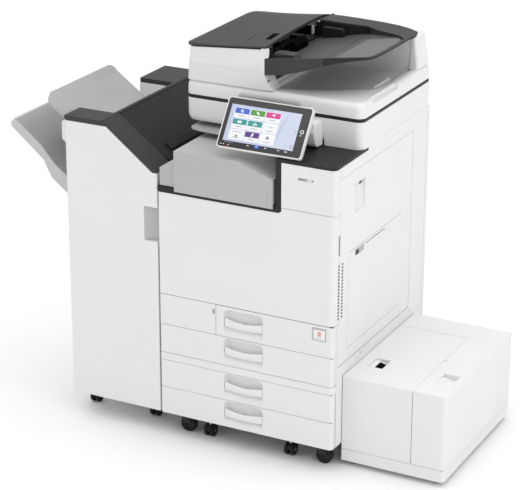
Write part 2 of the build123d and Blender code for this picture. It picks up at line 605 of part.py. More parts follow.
GUIDE_FRONT_Y = 236.0
GUIDE_REAR_Y = 533.0
for name, near, far in (("guide_front", GUIDE_FRONT_Y - 10, GUIDE_FRONT_Y),
                        ("guide_rear", GUIDE_REAR_Y, GUIDE_REAR_Y + 10)):
    with BuildPart() as guide:
        front_outline([(286, 1189.5), (352, 1200), (352, 1224), (296, 1224), (286, 1212)],
                      (near, far))
    save(guide, name)

# ---- finisher ----------------------------------------------------------------------------------
FIN_FRONT = 26.0
SLOT_Y = (90.0, 450.0)
fin_outline = [
    (FIN_LEFT, BANK_BOTTOM), (FIN_RIGHT, BANK_BOTTOM), (FIN_RIGHT, 862), (SLOPE[1][0], 862),
    (-178, FIN_TOP - 1), (FIN_LEFT, FIN_TOP - 1),
]
with BuildPart() as finisher_body:
    front_outline(fin_outline, (FIN_FRONT + GAP, FIN_BACK))
    block((FIN_LEFT + 4, FIN_RIGHT - 4), (FIN_FRONT + 8, FIN_BACK - 4), (BANK_BOTTOM + 4, 856),
          mode=Mode.SUBTRACT)
    front_outline([(FIN_LEFT - 1, 955), (-205, 882), (-205, 1000), (FIN_LEFT - 1, 1000)],
                  SLOT_Y, mode=Mode.SUBTRACT)
    block((-300, -30), (20, 40), (100, 840), mode=Mode.SUBTRACT)
    for near, far in ((36, 86), (456, 600)):
        front_outline([(-318, 860), (-40, 860), (-178, 970), (-318, 970)], (near, far),
                      mode=Mode.SUBTRACT)
    block((-352, FIN_LEFT), (30, 86), (894, 962))
save(finisher_body, "finisher_body")

with BuildPart() as finisher_cap:
    block((FIN_LEFT, -188), (0, 88), (FIN_TOP, FIN_CAP_TOP))
    block((FIN_LEFT, -188), (453, FIN_BACK), (FIN_TOP, FIN_CAP_TOP))
    front_outline([(-196, 960), (-196, SLOPE[0][1]), SLOPE[0], (-4, 866), (-4, 862.6),
                   (-20, 863), (-178, FIN_TOP), (-190, FIN_TOP), (-190, 960)], (0, FIN_BACK))
    front_outline([(-200, 950), (-200, FIN_TOP - 0.2), (-188, FIN_TOP - 0.2), (-188, 950)],
                  (-1, SLOT_Y[0] + 0.5), mode=Mode.SUBTRACT)
    front_outline([(-200, 950), (-200, FIN_TOP - 0.2), (-188, FIN_TOP - 0.2), (-188, 950)],
                  (SLOT_Y[1] - 0.5, FIN_BACK + 1), mode=Mode.SUBTRACT)
    front_outline([(-205, 950), (-205, FIN_TOP + 0.5), (-189, FIN_TOP - 0.5), (-189, 950)],
                  (SLOT_Y[0], SLOT_Y[1]), mode=Mode.SUBTRACT)
save(finisher_cap, "finisher_cap")

with BuildPart() as finisher_door:
    front_outline([(-324, 76), (-5, 76), (-5, 861.5), (-21, 861.5), (-178, 982.5),
                   (-324, 982.5)], (0, 24))
    block((-312, -58), (SHELL, 25), (90, 620), mode=Mode.SUBTRACT)
    block((-52, -4), (-1, 18), (640, 750), mode=Mode.SUBTRACT)
save(finisher_door, "finisher_door")

TRAY_SLOPE = 0.62
with BuildPart() as upper_tray:
    front_outline([(-428, 1030), (-424, 1036), (-207, 900), (-207, 892)], (94, 446))
    front_outline([(-428, 1030), (-424, 1036), (-327, 975), (-327, 967)], (40, 446))
save(upper_tray, "upper_tray")

SHIFT_Y = (50.0, 445.0)
with BuildPart() as shift_tray:
    tray_outer = [(TRAY_TIP, 926), (TRAY_TIP + 8, 940), (-440, 840), (-400, 792), (-327, 742),
                  (-327, 690), (-402, 752), (-428, 812), (-445, 828)]
    front_outline(tray_outer, SHIFT_Y)
    front_outline([(TRAY_TIP - 2, 940), (TRAY_TIP + 8, 944), (-440, 846), (-400, 798), (-326, 748),
                   (-326, 700), (-402, 762), (-426, 822), (-445, 838), (TRAY_TIP - 2, 936)],
                  (SHIFT_Y[0] + 6, SHIFT_Y[1] - 6), mode=Mode.SUBTRACT)
save(shift_tray, "shift_tray")

with BuildPart() as finisher_feet:
    for foot_x in (-305, -82):
        for foot_y in (107, 540):
            post((foot_x, foot_y), 7, (30, BANK_BOTTOM - 0.2))
            for side in (-1, 1):
                cross_rod((foot_y, 19), 19, (foot_x + side * 10 - 8, foot_x + side * 10 + 8))
            block((foot_x - 12, foot_x + 12), (foot_y - 12, foot_y + 12), (24, 44))
save(finisher_feet, "finisher_feet")

# ---- large paper tray ----------------------------------------------------------------------------
with BuildPart() as lct_body:
    block((LCT_LEFT, LCT_RIGHT), (LCT_FRONT, LCT_BACK), LCT_Z)
    fillet(upright_edges(lct_body.part, LCT_RIGHT, LCT_FRONT), 14)
    block((LCT_LEFT - 1, LCT_SPLIT), (LCT_FRONT - 1, LCT_LID_BACK + 1), (288.8, 298),
          mode=Mode.SUBTRACT)
    block((LCT_LEFT + 6, 806), (LCT_FRONT + 8, LCT_LID_BACK - 8), (60, 298), mode=Mode.SUBTRACT)
    block((822, LCT_RIGHT - 6), (LCT_FRONT + 8, LCT_LID_BACK - 8), (60, 262),
          mode=Mode.SUBTRACT)
    block((LCT_LEFT + 6, LCT_RIGHT - 6), (LCT_LID_BACK + 8, LCT_BACK - 6), (60, 280),
          mode=Mode.SUBTRACT)
    block((853, 903), (169, 223), (280, 298), mode=Mode.SUBTRACT)
    block((800, 816), (LCT_FRONT + 8, LCT_LID_BACK - 8), (284, 298), mode=Mode.SUBTRACT)
save(lct_body, "lct_body")

with BuildPart() as lct_lid:
    block((LCT_LEFT, LCT_SPLIT - 0.6), (LCT_FRONT, LCT_LID_BACK), (290.4, LCT_Z[1]))
    block((634, 674), (166, 236), (276, 291))
    block((626, 672), (168, 234), (280, 298), mode=Mode.SUBTRACT)
    block((620, 636), (168, 234), (275, 290.4), mode=Mode.SUBTRACT)
save(lct_lid, "lct_lid")

with BuildPart() as lct_feet:
    for foot_x in (620, 895):
        for foot_y in (100, 575):
            post((foot_x, foot_y), 16, (0, LCT_Z[0] - 0.1))
save(lct_feet, "lct_feet")

# ---- casters -------------------------------------------------------------------------------------
AXLE_R = 4.0
CHEEK = 3.0
for side, caster_x in zip(("left", "right"), CASTER_X):
    caster_y = CASTER_Y[0]
    with BuildPart() as fork:
        post((caster_x - TRAIL, caster_y), 16, (57, 61.6))
        block((caster_x - TRAIL - 16, caster_x + 12),
              (caster_y - WHEEL_W / 2 - CHEEK - 1, caster_y + WHEEL_W / 2 + CHEEK + 1), (53.5, 57))
        for cheek in (-1, 1):
            edge = caster_y + cheek * (WHEEL_W / 2 + 1)
            cheek_y = (min(edge, edge + cheek * CHEEK), max(edge, edge + cheek * CHEEK))
            block((caster_x - 12, caster_x + 10), cheek_y, (20, 55))
        rod((caster_x, WHEEL_R), AXLE_R,
            (caster_y - WHEEL_W / 2 - CHEEK - 1, caster_y + WHEEL_W / 2 + CHEEK + 1))
    save(fork, "caster_fork_" + side)
    with BuildPart() as wheel:
        rod((caster_x, WHEEL_R), WHEEL_R, (caster_y - WHEEL_W / 2, caster_y + WHEEL_W / 2))
        fillet(wheel.edges().filter_by(GeomType.CIRCLE), 4)
        rod((caster_x, WHEEL_R), AXLE_R + SHAFT_FIT,
            (caster_y - WHEEL_W, caster_y + WHEEL_W), mode=Mode.SUBTRACT)
    save(wheel, "front_wheel_" + side)

with BuildPart() as fixed_casters:
    for caster_x in CASTER_X:
        rear_y = CASTER_Y[1]
        block((caster_x - 17, caster_x + 17), (rear_y - 16, rear_y + 16), (56, 61.8))
        for cheek in (-1, 1):
            edge = caster_x + cheek * (WHEEL_W / 2 + 1)
            cheek_x = (min(edge, edge + cheek * CHEEK), max(edge, edge + cheek * CHEEK))
            block(cheek_x, (rear_y - 12, rear_y + 12), (20, 58))
        cross_rod((rear_y, WHEEL_R), AXLE_R,
                  (caster_x - WHEEL_W / 2 - CHEEK, caster_x + WHEEL_W / 2 + CHEEK))
    for twin_x in TWIN_X:
        block((twin_x - 13, twin_x + 13), (46, 74), (36, 61.8))
        cross_rod((60, 20), 6, (twin_x - 14, twin_x + 14))
        block((twin_x - 3, twin_x + 3), (50, 70), (18, 40))
        for wheel_side in (-1, 1):
            mid = twin_x + wheel_side * 10
            cross_rod((60, 20), 20, (mid - 6, mid + 6))
save(fixed_casters, "fixed_casters")

for side, caster_x in zip(("left", "right"), CASTER_X):
    with BuildPart() as wheel:
        cross_rod((CASTER_Y[1], WHEEL_R), WHEEL_R,
                  (caster_x - WHEEL_W / 2, caster_x + WHEEL_W / 2))
        fillet(wheel.edges().filter_by(GeomType.CIRCLE), 4)
        cross_rod((CASTER_Y[1], WHEEL_R), AXLE_R + SHAFT_FIT,
                  (caster_x - WHEEL_W, caster_x + WHEEL_W), mode=Mode.SUBTRACT)
    save(wheel, "rear_wheel_" + side)
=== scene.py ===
import json
import math

import bmesh
import bpy
from mathutils import Matrix, Vector

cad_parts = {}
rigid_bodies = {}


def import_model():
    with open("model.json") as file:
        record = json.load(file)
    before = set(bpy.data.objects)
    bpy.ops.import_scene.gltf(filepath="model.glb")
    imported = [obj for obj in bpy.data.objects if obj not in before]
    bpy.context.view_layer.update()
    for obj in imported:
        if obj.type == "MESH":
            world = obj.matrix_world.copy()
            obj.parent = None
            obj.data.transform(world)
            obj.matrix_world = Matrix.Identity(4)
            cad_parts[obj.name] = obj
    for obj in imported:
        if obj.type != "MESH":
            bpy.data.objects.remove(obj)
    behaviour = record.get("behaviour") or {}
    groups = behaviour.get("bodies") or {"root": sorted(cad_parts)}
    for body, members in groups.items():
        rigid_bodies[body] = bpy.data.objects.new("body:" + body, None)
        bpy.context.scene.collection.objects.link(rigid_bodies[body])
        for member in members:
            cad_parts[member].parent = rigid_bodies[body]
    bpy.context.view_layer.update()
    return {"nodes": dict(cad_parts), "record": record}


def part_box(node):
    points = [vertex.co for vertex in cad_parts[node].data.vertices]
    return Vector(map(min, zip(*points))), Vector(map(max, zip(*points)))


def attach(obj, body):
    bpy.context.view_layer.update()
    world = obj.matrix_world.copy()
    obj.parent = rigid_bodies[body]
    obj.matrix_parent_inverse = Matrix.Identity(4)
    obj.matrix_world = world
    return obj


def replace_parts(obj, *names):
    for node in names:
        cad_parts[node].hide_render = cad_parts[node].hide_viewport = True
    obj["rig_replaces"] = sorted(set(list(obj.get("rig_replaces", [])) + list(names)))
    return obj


# Looks for the photocopier. Shapes are laid out in millimetres in machine coordinates:
# x from the main unit's left face, y from its front face and z from the floor. place()
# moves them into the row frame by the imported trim's corner.

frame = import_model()
TRIM_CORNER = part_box("black_trim")[0]
SLOT_OF = {s["node"]: s["material_slot"] for s in frame["record"]["subparts"]}
BODY_OF = {n: b for b, ns in frame["record"]["behaviour"]["bodies"].items() for n in ns}
MATERIALS = {}
MM = 0.001


def place(p):
    """A machine point in millimetres as a row-frame point in metres."""
    return Vector((p[0] * MM + TRIM_CORNER.x, p[1] * MM + TRIM_CORNER.y, p[2] * MM))


# ---- mesh tools ----------------------------------------------------------------------------------
AXES = {"x": (1, 2, 0), "y": (0, 2, 1), "z": (0, 1, 2)}


def link(name, mesh):
    obj = bpy.data.objects.new(name, mesh)
    bpy.context.scene.collection.objects.link(obj)
    return obj


def mesh_piece(name, verts, faces):
    mesh = bpy.data.meshes.new(name)
    mesh.from_pydata([place(v) for v in verts], [], faces)
    mesh.validate()
    work = bmesh.new()
    work.from_mesh(mesh)
    bmesh.ops.remove_doubles(work, verts=work.verts, dist=1e-6)
    bmesh.ops.recalc_face_normals(work, faces=work.faces)
    work.to_mesh(mesh)
    work.free()
    return link(name, mesh)


def prism(name, outline, axis, low, high):
    """An outline pushed along an axis: (x, z) points for y, (y, z) for x, (x, y) for z."""
    a, b, c = AXES[axis]
    verts = []
    for level in (low, high):
        for p in outline:
            v = [0.0, 0.0, 0.0]
            v[a], v[b], v[c] = p[0], p[1], level
            verts.append(v)
    n = len(outline)
    faces = [tuple(range(n)), tuple(range(2 * n - 1, n - 1, -1))]
    faces += [(i, (i + 1) % n, n + (i + 1) % n, n + i) for i in range(n)]
    return mesh_piece(name, verts, faces)


def slab(name, x, y, z):
    return prism(name, [(x[0], y[0]), (x[1], y[0]), (x[1], y[1]), (x[0], y[1])], "z", *z)


def loft(name, rings, caps=True, loop=False, closed=True):
    """Rings of points joined in order."""
    n = len(rings[0])
    verts = [p for ring in rings for p in ring]
    faces = []
    last = len(rings) if loop else len(rings) - 1
    for r in range(last):
        here, there = r * n, ((r + 1) % len(rings)) * n
        for i in range(n if closed else n - 1):
            j = (i + 1) % n
            faces.append((here + i, here + j, there + j, there + i))
    if caps and not loop:
        faces.append(tuple(range(n)))
        faces.append(tuple(range(len(verts) - 1, len(verts) - n - 1, -1)))
    return mesh_piece(name, verts, faces)


def lathe(name, profile, axis, centre, steps=40, loop=False):
    """(radius, level) pairs turned about an axis; centre is the two other coordinates."""
    a, b, c = AXES[axis]
    rings = []
    for radius, level in profile:
        ring = []
        for i in range(steps):
            t = 2 * math.pi * i / steps
            v = [0.0, 0.0, 0.0]
            v[a] = centre[0] + radius * math.cos(t)
            v[b] = centre[1] + radius * math.sin(t)
            v[c] = level
            ring.append(v)
        rings.append(ring)
    return loft(name, rings, loop=loop)


def rounded(points, radius, steps=6):
    """A polygon with each corner rounded; radius is one number or one for each corner."""
    radii = radius if isinstance(radius, (list, tuple)) else [radius] * len(points)
    out = []
    n = len(points)
    for i, (p, r) in enumerate(zip(points, radii)):
        if r <= 0:
            out.append(tuple(p))
            continue
        here = Vector(p)
        before = (Vector(points[i - 1]) - here)
        after = (Vector(points[(i + 1) % n]) - here)
        angle = before.angle(after)
        reach = min(r / math.tan(angle / 2), before.length * 0.499, after.length * 0.499)
        r = reach * math.tan(angle / 2)
        start = here + before.normalized() * reach
        end = here + after.normalized() * reach
        middle = (before.normalized() + after.normalized()).normalized()
        centre = here + middle * (r / math.sin(angle / 2))
        a0 = math.atan2(start.y - centre.y, start.x - centre.x)
        a1 = math.atan2(end.y - centre.y, end.x - centre.x)
        turn = (a1 - a0 + math.pi) % (2 * math.pi) - math.pi
        for s in range(steps + 1):
            t = a0 + turn * s / steps
            out.append((centre.x + r * math.cos(t), centre.y + r * math.sin(t)))
    return out


def rect(x, y, radius=0, steps=6):
    points = [(x[0], y[0]), (x[1], y[0]), (x[1], y[1]), (x[0], y[1])]
    return rounded(points, radius, steps) if radius else points


def smooth_shade(obj, angle=50):
    obj.data.shade_smooth()
    obj.data.set_sharp_from_angle(angle=math.radians(angle))
    return obj


def bake(obj):
    """Applies the modifiers to the mesh."""
    graph = bpy.context.evaluated_depsgraph_get()
    mesh = bpy.data.meshes.new_from_object(obj.evaluated_get(graph))
    obj.modifiers.clear()
    obj.data = mesh
    return obj


def carve(obj, cutter, operation="DIFFERENCE"):
    """One boolean, after which the cutter is gone."""
    step = obj.modifiers.new("carve", "BOOLEAN")
    step.operation = operation
    step.solver = "EXACT"
    step.object = cutter
    bake(obj)
    bpy.data.objects.remove(cutter)
    return obj


def soften(obj, width, segments=2, angle=30):
    """Rounds the sharp edges over a width in millimetres, with even shading."""
    if width:
        step = obj.modifiers.new("edges", "BEVEL")
        step.width = width * MM
        step.segments = segments
        step.limit_method = "ANGLE"
        step.angle_limit = math.radians(angle)
        step.use_clamp_overlap = True
    smooth = obj.modifiers.new("normals", "WEIGHTED_NORMAL")
    smooth.weight = 60
    smooth.keep_sharp = True
    return bake(smooth_shade(obj, 60))


def copy_node(node, name=None):
    """The CAD node's mesh, welded and with its flat faces whole, as a piece of its own."""
    work = bmesh.new()
    work.from_mesh(frame["nodes"][node].data)
    bmesh.ops.remove_doubles(work, verts=work.verts, dist=2e-6)
    bmesh.ops.dissolve_limit(work, angle_limit=math.radians(0.4), verts=work.verts,
                             edges=work.edges)
    bmesh.ops.recalc_face_normals(work, faces=work.faces)
    mesh = bpy.data.meshes.new(name or node + "_shell")
    work.to_mesh(mesh)
    work.free()
    return link(name or node + "_shell", mesh)


def dress(obj, body, slot, material=None, replaces=()):
    """Says what a finished piece rides on, its finish and the CAD nodes it stands for."""
    obj.data.materials.clear()
    obj.data.materials.append(MATERIALS[material or slot])
    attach(obj, body)
    if replaces:
        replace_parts(obj, *replaces)
    return obj


def shell(node, width=1.0, segments=2, material=None, grooves=(), angle=30):
    """The CAD node with softened edges and thin grooves cut into it."""
    obj = copy_node(node)
    for number, (x, y, z) in enumerate(grooves):
        carve(obj, slab(f"groove_{number}", x, y, z))
    soften(obj, width, segments, angle)
    return dress(obj, BODY_OF[node], SLOT_OF[node], material, [node])


# What most pieces ride on, with their material slot.
MAIN = ("main", "white_cover")
FEEDER = ("feeder", "white_cover")
FEEDER_COVER = ("feeder_cover", "charcoal_cover")
INPUT_TRAY = ("input_tray", "charcoal_cover")
PANEL = ("panel", "white_cover")
SCREEN = ("panel", "screen_glass")
DRAWER_1 = ("drawer_1", "white_cover")
FRONT_DOOR = ("front_door", "white_cover")
RIGHT_DOOR = ("right_door", "white_cover")
FINISHER = ("finisher", "white_cover")
FINISHER_DOOR = ("finisher_door", "white_cover")
FINISHER_CAP = ("finisher", "charcoal_cover")
LCT = ("lct", "white_cover")
LCT_LID = ("lct_lid", "white_cover")
TONER = ("main", "toner_plastic")


def seat(node):
    """The body and the material slot of a CAD node."""
    return BODY_OF[node], SLOT_OF[node]

# ---- materials -----------------------------------------------------------------------------------
def new_material(name):
    """A material's node tree, its shader and the object coordinates for its textures."""
    material = bpy.data.materials.new(name)
    material.use_nodes = True
    MATERIALS[name] = material
    tree = material.node_tree
    return tree, tree.nodes["Principled BSDF"], tree.nodes.new("ShaderNodeTexCoord").outputs["Object"]


def texture(tree, kind, where, output="Fac", **settings):
    node = tree.nodes.new("ShaderNodeTex" + kind)
    tree.links.new(where, node.inputs["Vector"])
    for key, value in settings.items():
        node.inputs[key].default_value = value
    return node.outputs[output]


def tint(tree, shader, pattern, color, shades, span=(0.0, 1.0)):
    """Colours the base between two shades of a colour, following a pattern."""
    ramp = tree.nodes.new("ShaderNodeValToRGB")
    for end, factor, at in zip(ramp.color_ramp.elements, shades, span):
        end.position = at
        end.color = tuple(min(1.0, c * factor) for c in color) + (1.0,)
    tree.links.new(pattern, ramp.inputs["Fac"])
    tree.links.new(ramp.outputs["Color"], shader.inputs["Base Color"])
    return ramp.outputs["Color"]


def sheen(tree, shader, pattern, low, high, span=(0.0, 1.0)):
    """Varies the roughness between two values, following a pattern."""
    spread = tree.nodes.new("ShaderNodeMapRange")
    for key, value in (("From Min", span[0]), ("From Max", span[1]), ("To Min", low), ("To Max", high)):
        spread.inputs[key].default_value = value
    tree.links.new(pattern, spread.inputs["Value"])
    tree.links.new(spread.outputs["Result"], shader.inputs["Roughness"])


def relief(tree, shader, pattern, strength, height):
    bump = tree.nodes.new("ShaderNodeBump")
    bump.inputs["Strength"].default_value = strength
    bump.inputs["Distance"].default_value = height * MM
    tree.links.new(pattern, bump.inputs["Height"])
    tree.links.new(bump.outputs["Normal"], shader.inputs["Normal"])


def plastic(name, color, rough, grain=1.2, bump=0.15, depth=0.05, drift=0.03, coat=0.0):
    """A moulded plastic: spark texture, slow colour drift and uneven sheen.

    grain is the texture's size and depth its height, both in millimetres.
    """
    tree, shader, where = new_material(name)
    fine = texture(tree, "Noise", where, Scale=1000 / grain, Detail=3)
    broad = texture(tree, "Noise", where, Scale=7, Detail=4)
    middle = (0.3, 0.7)
    tint(tree, shader, broad, color, (1 - drift, 1 + drift * 0.4), middle)
    sheen(tree, shader, fine, max(0.02, rough - 0.06), min(1.0, rough + 0.06), middle)
    relief(tree, shader, fine, bump, depth)
    shader.inputs["Specular IOR Level"].default_value = 0.4
    if coat:
        shader.inputs["Coat Weight"].default_value = coat
        shader.inputs["Coat Roughness"].default_value = 0.08


def metal(name, color, rough):
    """A sheet or bar with a drawn grain along one axis and faint stains."""
    tree, shader, where = new_material(name)
    squeeze = tree.nodes.new("ShaderNodeMapping")
    squeeze.inputs["Scale"].default_value = (1, 1, 60)
    tree.links.new(where, squeeze.inputs["Vector"])
    grain = texture(tree, "Noise", squeeze.outputs["Vector"], Scale=40, Detail=6)
    tint(tree, shader, grain, color, (0.82, 1.08), (0.35, 0.7))
    sheen(tree, shader, grain, max(0.05, rough - 0.1), rough + 0.12)
    shader.inputs["Metallic"].default_value = 1.0
    relief(tree, shader, grain, 0.12, 0.1)


def lit(name, color, glow):
    """A patch of a lit display under clear glass, with a faint dot grid."""
    tree, shader, where = new_material(name)
    dots = texture(tree, "Voronoi", where, "Distance", Scale=3500)
    dotted = tint(tree, shader, dots, color, (1.03, 0.93))
    tree.links.new(dotted, shader.inputs["Emission Color"])
    shader.inputs["Emission Strength"].default_value = glow
    shader.inputs["Roughness"].default_value = 0.12


def glass(name, color):
    tree, shader, where = new_material(name)
    haze = texture(tree, "Noise", where, Scale=30)
    tint(tree, shader, haze, color, (0.95, 1.0))
    for key, value in (("Roughness", 0.03), ("Alpha", 0.35), ("IOR", 1.5)):
        shader.inputs[key].default_value = value


def cloth(name, color):
    """A white foam sheet with a fine woven face."""
    tree, shader, where = new_material(name)
    weave = texture(tree, "Wave", where, Scale=400, Distortion=1.5)
    tint(tree, shader, weave, color, (0.93, 1.0))
    shader.inputs["Roughness"].default_value = 0.85
    relief(tree, shader, weave, 0.3, 0.2)


plastic("white_cover", (0.78, 0.78, 0.777), 0.46, drift=0.015)
plastic("charcoal_cover", (0.031, 0.031, 0.0325), 0.44, grain=0.9, bump=0.25, drift=0.12)
plastic("charcoal_dark", (0.008, 0.008, 0.0085), 0.5, grain=1.0, bump=0.2, drift=0.15)
plastic("gray_cover", (0.46, 0.46, 0.46), 0.5, drift=0.03)
# A mid gray: the colour of screws, feet, the hinge dot and seams, and painted shade in finger notches, finger
# slots and slot floors.
plastic("pocket_gray", (0.30, 0.30, 0.305), 0.55, drift=0.05)
plastic("tray_gray", (0.42, 0.42, 0.425), 0.3, grain=1.6, bump=0.1, drift=0.05, coat=0.2)
# A lighter copy of the tray gray: painted light on the shift tray's side walls and tip, where light falls on
# them.
plastic("tray_edge", (0.52, 0.52, 0.52), 0.3, grain=1.6, bump=0.1, drift=0.05, coat=0.2)
plastic("drawer_plastic", (0.22, 0.225, 0.23), 0.5, drift=0.06)
plastic("black_plastic", (0.012, 0.012, 0.012), 0.4, grain=1.1, bump=0.3, drift=0.2)
plastic("wheel_rubber", (0.01, 0.01, 0.01), 0.75, grain=1.4, bump=0.5, depth=0.1, drift=0.3)
plastic("belt_film", (0.02, 0.02, 0.022), 0.25, grain=3, bump=0.08, drift=0.3)
plastic("toner_plastic", (0.55, 0.55, 0.55), 0.38, grain=2, drift=0.06)
plastic("toner_cyan", (0.02, 0.32, 0.55), 0.38, drift=0.06)
plastic("toner_magenta", (0.55, 0.03, 0.22), 0.38, drift=0.06)
plastic("toner_yellow", (0.75, 0.55, 0.03), 0.38, drift=0.06)
plastic("lever_green", (0.03, 0.30, 0.17), 0.4, drift=0.06)
plastic("roller_coat", (0.32, 0.09, 0.035), 0.3, grain=2.5, bump=0.1, drift=0.15, coat=0.3)
plastic("bezel_black", (0.006, 0.006, 0.007), 0.16, grain=4, bump=0.03, drift=0.2, coat=0.6)
plastic("clear_lens", (0.35, 0.36, 0.38), 0.12, grain=3, bump=0.05, drift=0.1, coat=0.8)
plastic("paper_white", (0.86, 0.86, 0.84), 0.8, grain=0.6, bump=0.2, drift=0.02)
# A black without specular: the colour of the separation block, and painted shade in holes, slots, vents and
# the feeder throat.
plastic("void_black", (0.003, 0.003, 0.003), 0.9, grain=2, bump=0.05, drift=0.3)
MATERIALS["void_black"].node_tree.nodes["Principled BSDF"].inputs["Specular IOR Level"].default_value = 0.02
metal("frame_steel", (0.46, 0.47, 0.48), 0.34)
metal("bright_steel", (0.72, 0.72, 0.72), 0.2)
glass("platen_glass", (0.80, 0.88, 0.86))
cloth("pad_cloth", (0.86, 0.86, 0.85))
lit("screen_glass", (0.01, 0.01, 0.012), 0.0)

# ---- paper drawers: fronts with a scooped grip and a bowed bar -----------------------------------
GRIP = (221.0, 354.0)
FACE_RIGHT = 586.5


def front_plate(name, x, z, depth, corner=20.0, steps=10):
    """A drawer or cover front with a rounded upright right corner."""
    outline = rounded([(x[0], 0), (x[1], 0), (x[1], depth), (x[0], depth)],
                      [0, min(corner, depth - 0.01), 0, 0], steps)
    return prism(name, outline, "z", z[0], z[1])


def scoop(name, outline, depth_at, flange=1.2, steps=8):
    """A bowl behind an outline in the (x, z) plane; depth_at(x, z) is its floor."""
    cx = sum(p[0] for p in outline) / len(outline)
    cz = sum(p[1] for p in outline) / len(outline)
    rings = []
    for grow, y in ((flange, 0.1), (flange * 0.6, -0.35), (0.2, -0.25), (-0.4, 0.6)):
        rings.append([(x + (x - cx) / max(abs(x - cx), 1) * grow, y,
                       z + (z - cz) / max(abs(z - cz), 1) * grow) for x, z in outline])
    for s in range(steps + 1):
        t = s / steps
        inward = 1 - 0.16 * t ** 2.2
        fall = math.sin(t * math.pi / 2)
        ring = []
        for p in outline:
            x = cx + (p[0] - cx) * inward
            z = cz + (p[1] - cz) * inward
            ring.append((x, 0.8 + (depth_at(x, z) - 0.8) * fall, z))
        rings.append(ring)
    for shrink in (0.66, 0.44, 0.22, 0.04):
        rings.append([(cx + (p[0] - cx) * shrink,
                       depth_at(cx + (p[0] - cx) * shrink, cz + (p[1] - cz) * shrink),
                       cz + (p[1] - cz) * shrink) for p in outline])
    return loft(name, rings, caps=False)


def grip_bar(name, low):
    """The bar bows out of the front and dips at its middle."""
    rings = []
    steps = 28
    for s in range(steps + 1):
        t = s / steps
        x = GRIP[0] + 1.0 + (GRIP[1] - GRIP[0] - 2.0) * t
        bow = math.sin(math.pi * t)
        end = min(1.0, min(t, 1 - t) / 0.05)
        top = low + 57.0 - 7.5 * bow + 1.5 * (1 - end)
        foot = low + 30.5 - 2.0 * bow - 1.5 * (1 - end)
        face = 1.6 - 4.8 * max(0.0, bow) ** 0.7
        back = face + 7.0 + 2.0 * (1 - end)
        section = [(face + 1.4, foot), (face + 0.1, foot + 5), (face - 0.3, foot + 12), (face, top - 5),
                   (face + 0.9, top - 1.6), (face + 2.6, top), (back - 1.8, top - 0.6), (back, top - 3.5),
                   (back - 0.8, foot + 3),
                   (back - 3.0, foot - 0.4)]
        rings.append([(x, y, z) for y, z in section])
    obj = loft(name, rings)
    step = obj.modifiers.new("round", "SUBSURF")
    step.levels = 2
    step.render_levels = 2
    bake(obj)
    return smooth_shade(obj, 70)


def drawer_front(node, body):
    lo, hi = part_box(node)
    x0 = (lo.x - TRIM_CORNER.x) / MM
    z0, z1 = lo.z / MM, hi.z / MM
    grip_low = z0 + 3.0
    grip_high = min(grip_low + 87.0, z1 - 2.5)
    face = front_plate(node + "_face", (x0, FACE_RIGHT), (z0, z1), 22.0)
    opening = rounded([(GRIP[0], grip_low), (GRIP[1], grip_low), (GRIP[1], grip_high),
                       (GRIP[0], grip_high)], [26, 26, 16, 16], 8)
    carve(face, prism("hole", opening, "y", -5, 17.5))
    if node == "drawer_1_front":
        carve(face, prism("window", rect((516, 563), (426, 468), 3, 4), "y", -5, 2.6))
    soften(face, 1.1, 3)
    dress(face, body, "white_cover", replaces=[node])

    def floor_depth(x, z):
        up = max(0.0, (z - grip_low) / (grip_high - grip_low))
        if up < 0.36:
            return 1.2 + 12.0 * (up / 0.36) ** 1.3
        return 13.2 + 3.2 * min(1.0, (up - 0.36) / 0.3)

    bowl = scoop(node + "_scoop", opening, floor_depth)
    dress(smooth_shade(bowl, 60), body, "white_cover")
    dress(grip_bar(node + "_grip", grip_low), body, "white_cover")


for number in (1, 2, 3, 4):
    drawer_front(f"drawer_{number}_front", f"drawer_{number}")

plastic("card_lilac", (0.50, 0.47, 0.50), 0.6, grain=0.8, bump=0.1, drift=0.04)
plastic("card_pink", (0.72, 0.38, 0.40), 0.6, grain=0.8, bump=0.1, drift=0.06)
card = slab("drawer_1_size_card", (517.5, 561.5), (1.2, 2.2), (427.5, 466.5))
dress(soften(card, 0.2, 1), *DRAWER_1, "card_lilac")
face = prism("drawer_1_size_face", rect((522, 559), (430, 461), 1.5, 3), "y", 1.0, 1.4)
dress(soften(face, 0.1, 1), *DRAWER_1, "paper_white")
mark = prism("drawer_1_size_mark", rect((534, 546), (441, 456), 1.5, 3), "y", 0.8, 1.2)
dress(soften(mark, 0.1, 1), *DRAWER_1, "card_pink")
for row_number, line_z in enumerate((433.5, 437.0)):
    line = slab(f"drawer_1_size_line_{row_number}", (527, 554), (0.85, 1.2), (line_z, line_z + 0.9))
    dress(line, *DRAWER_1, "card_lilac")
DRAWER_TOPS = {"drawer_4": 164.9, "drawer_3": 256.3, "drawer_2": 376.1, "drawer_1": 475.8}
for body, top in DRAWER_TOPS.items():
    left = 196.0 if body == "drawer_1" else 3.0
    lip = slab(f"{body}_gasket", (left, 583.0), (1.3, 18.0), (top - 0.3, top + 0.85))
    dress(lip, body, "white_cover", "charcoal_dark")
dress(slab("drawer_1_side_gasket", (193.6, 195.4), (1.0, 16.0), (390, 475.8)), *DRAWER_1,
      "charcoal_dark")
# A gray patch at the switch cover's upper right corner: painted shade of its finger notch.
notch = slab("switch_notch_shade", (183.5, 190.5), (1.0, 1.9), (445.5, 460))
dress(soften(notch, 0.3, 1), "switch_cover", "white_cover", "pocket_gray")
# ---- document feeder -----------------------------------------------------------------------------
def clamp(value, low=0.0, high=1.0):
    return max(low, min(high, value))


def along(table, x):
    """Reads a (position, value) table with straight lines between its rows."""
    if x <= table[0][0]:
        return table[0][1]
    for (x0, v0), (x1, v1) in zip(table, table[1:]):
        if x <= x1:
            return v0 + (v1 - v0) * (x - x0) / (x1 - x0)
    return table[-1][1]


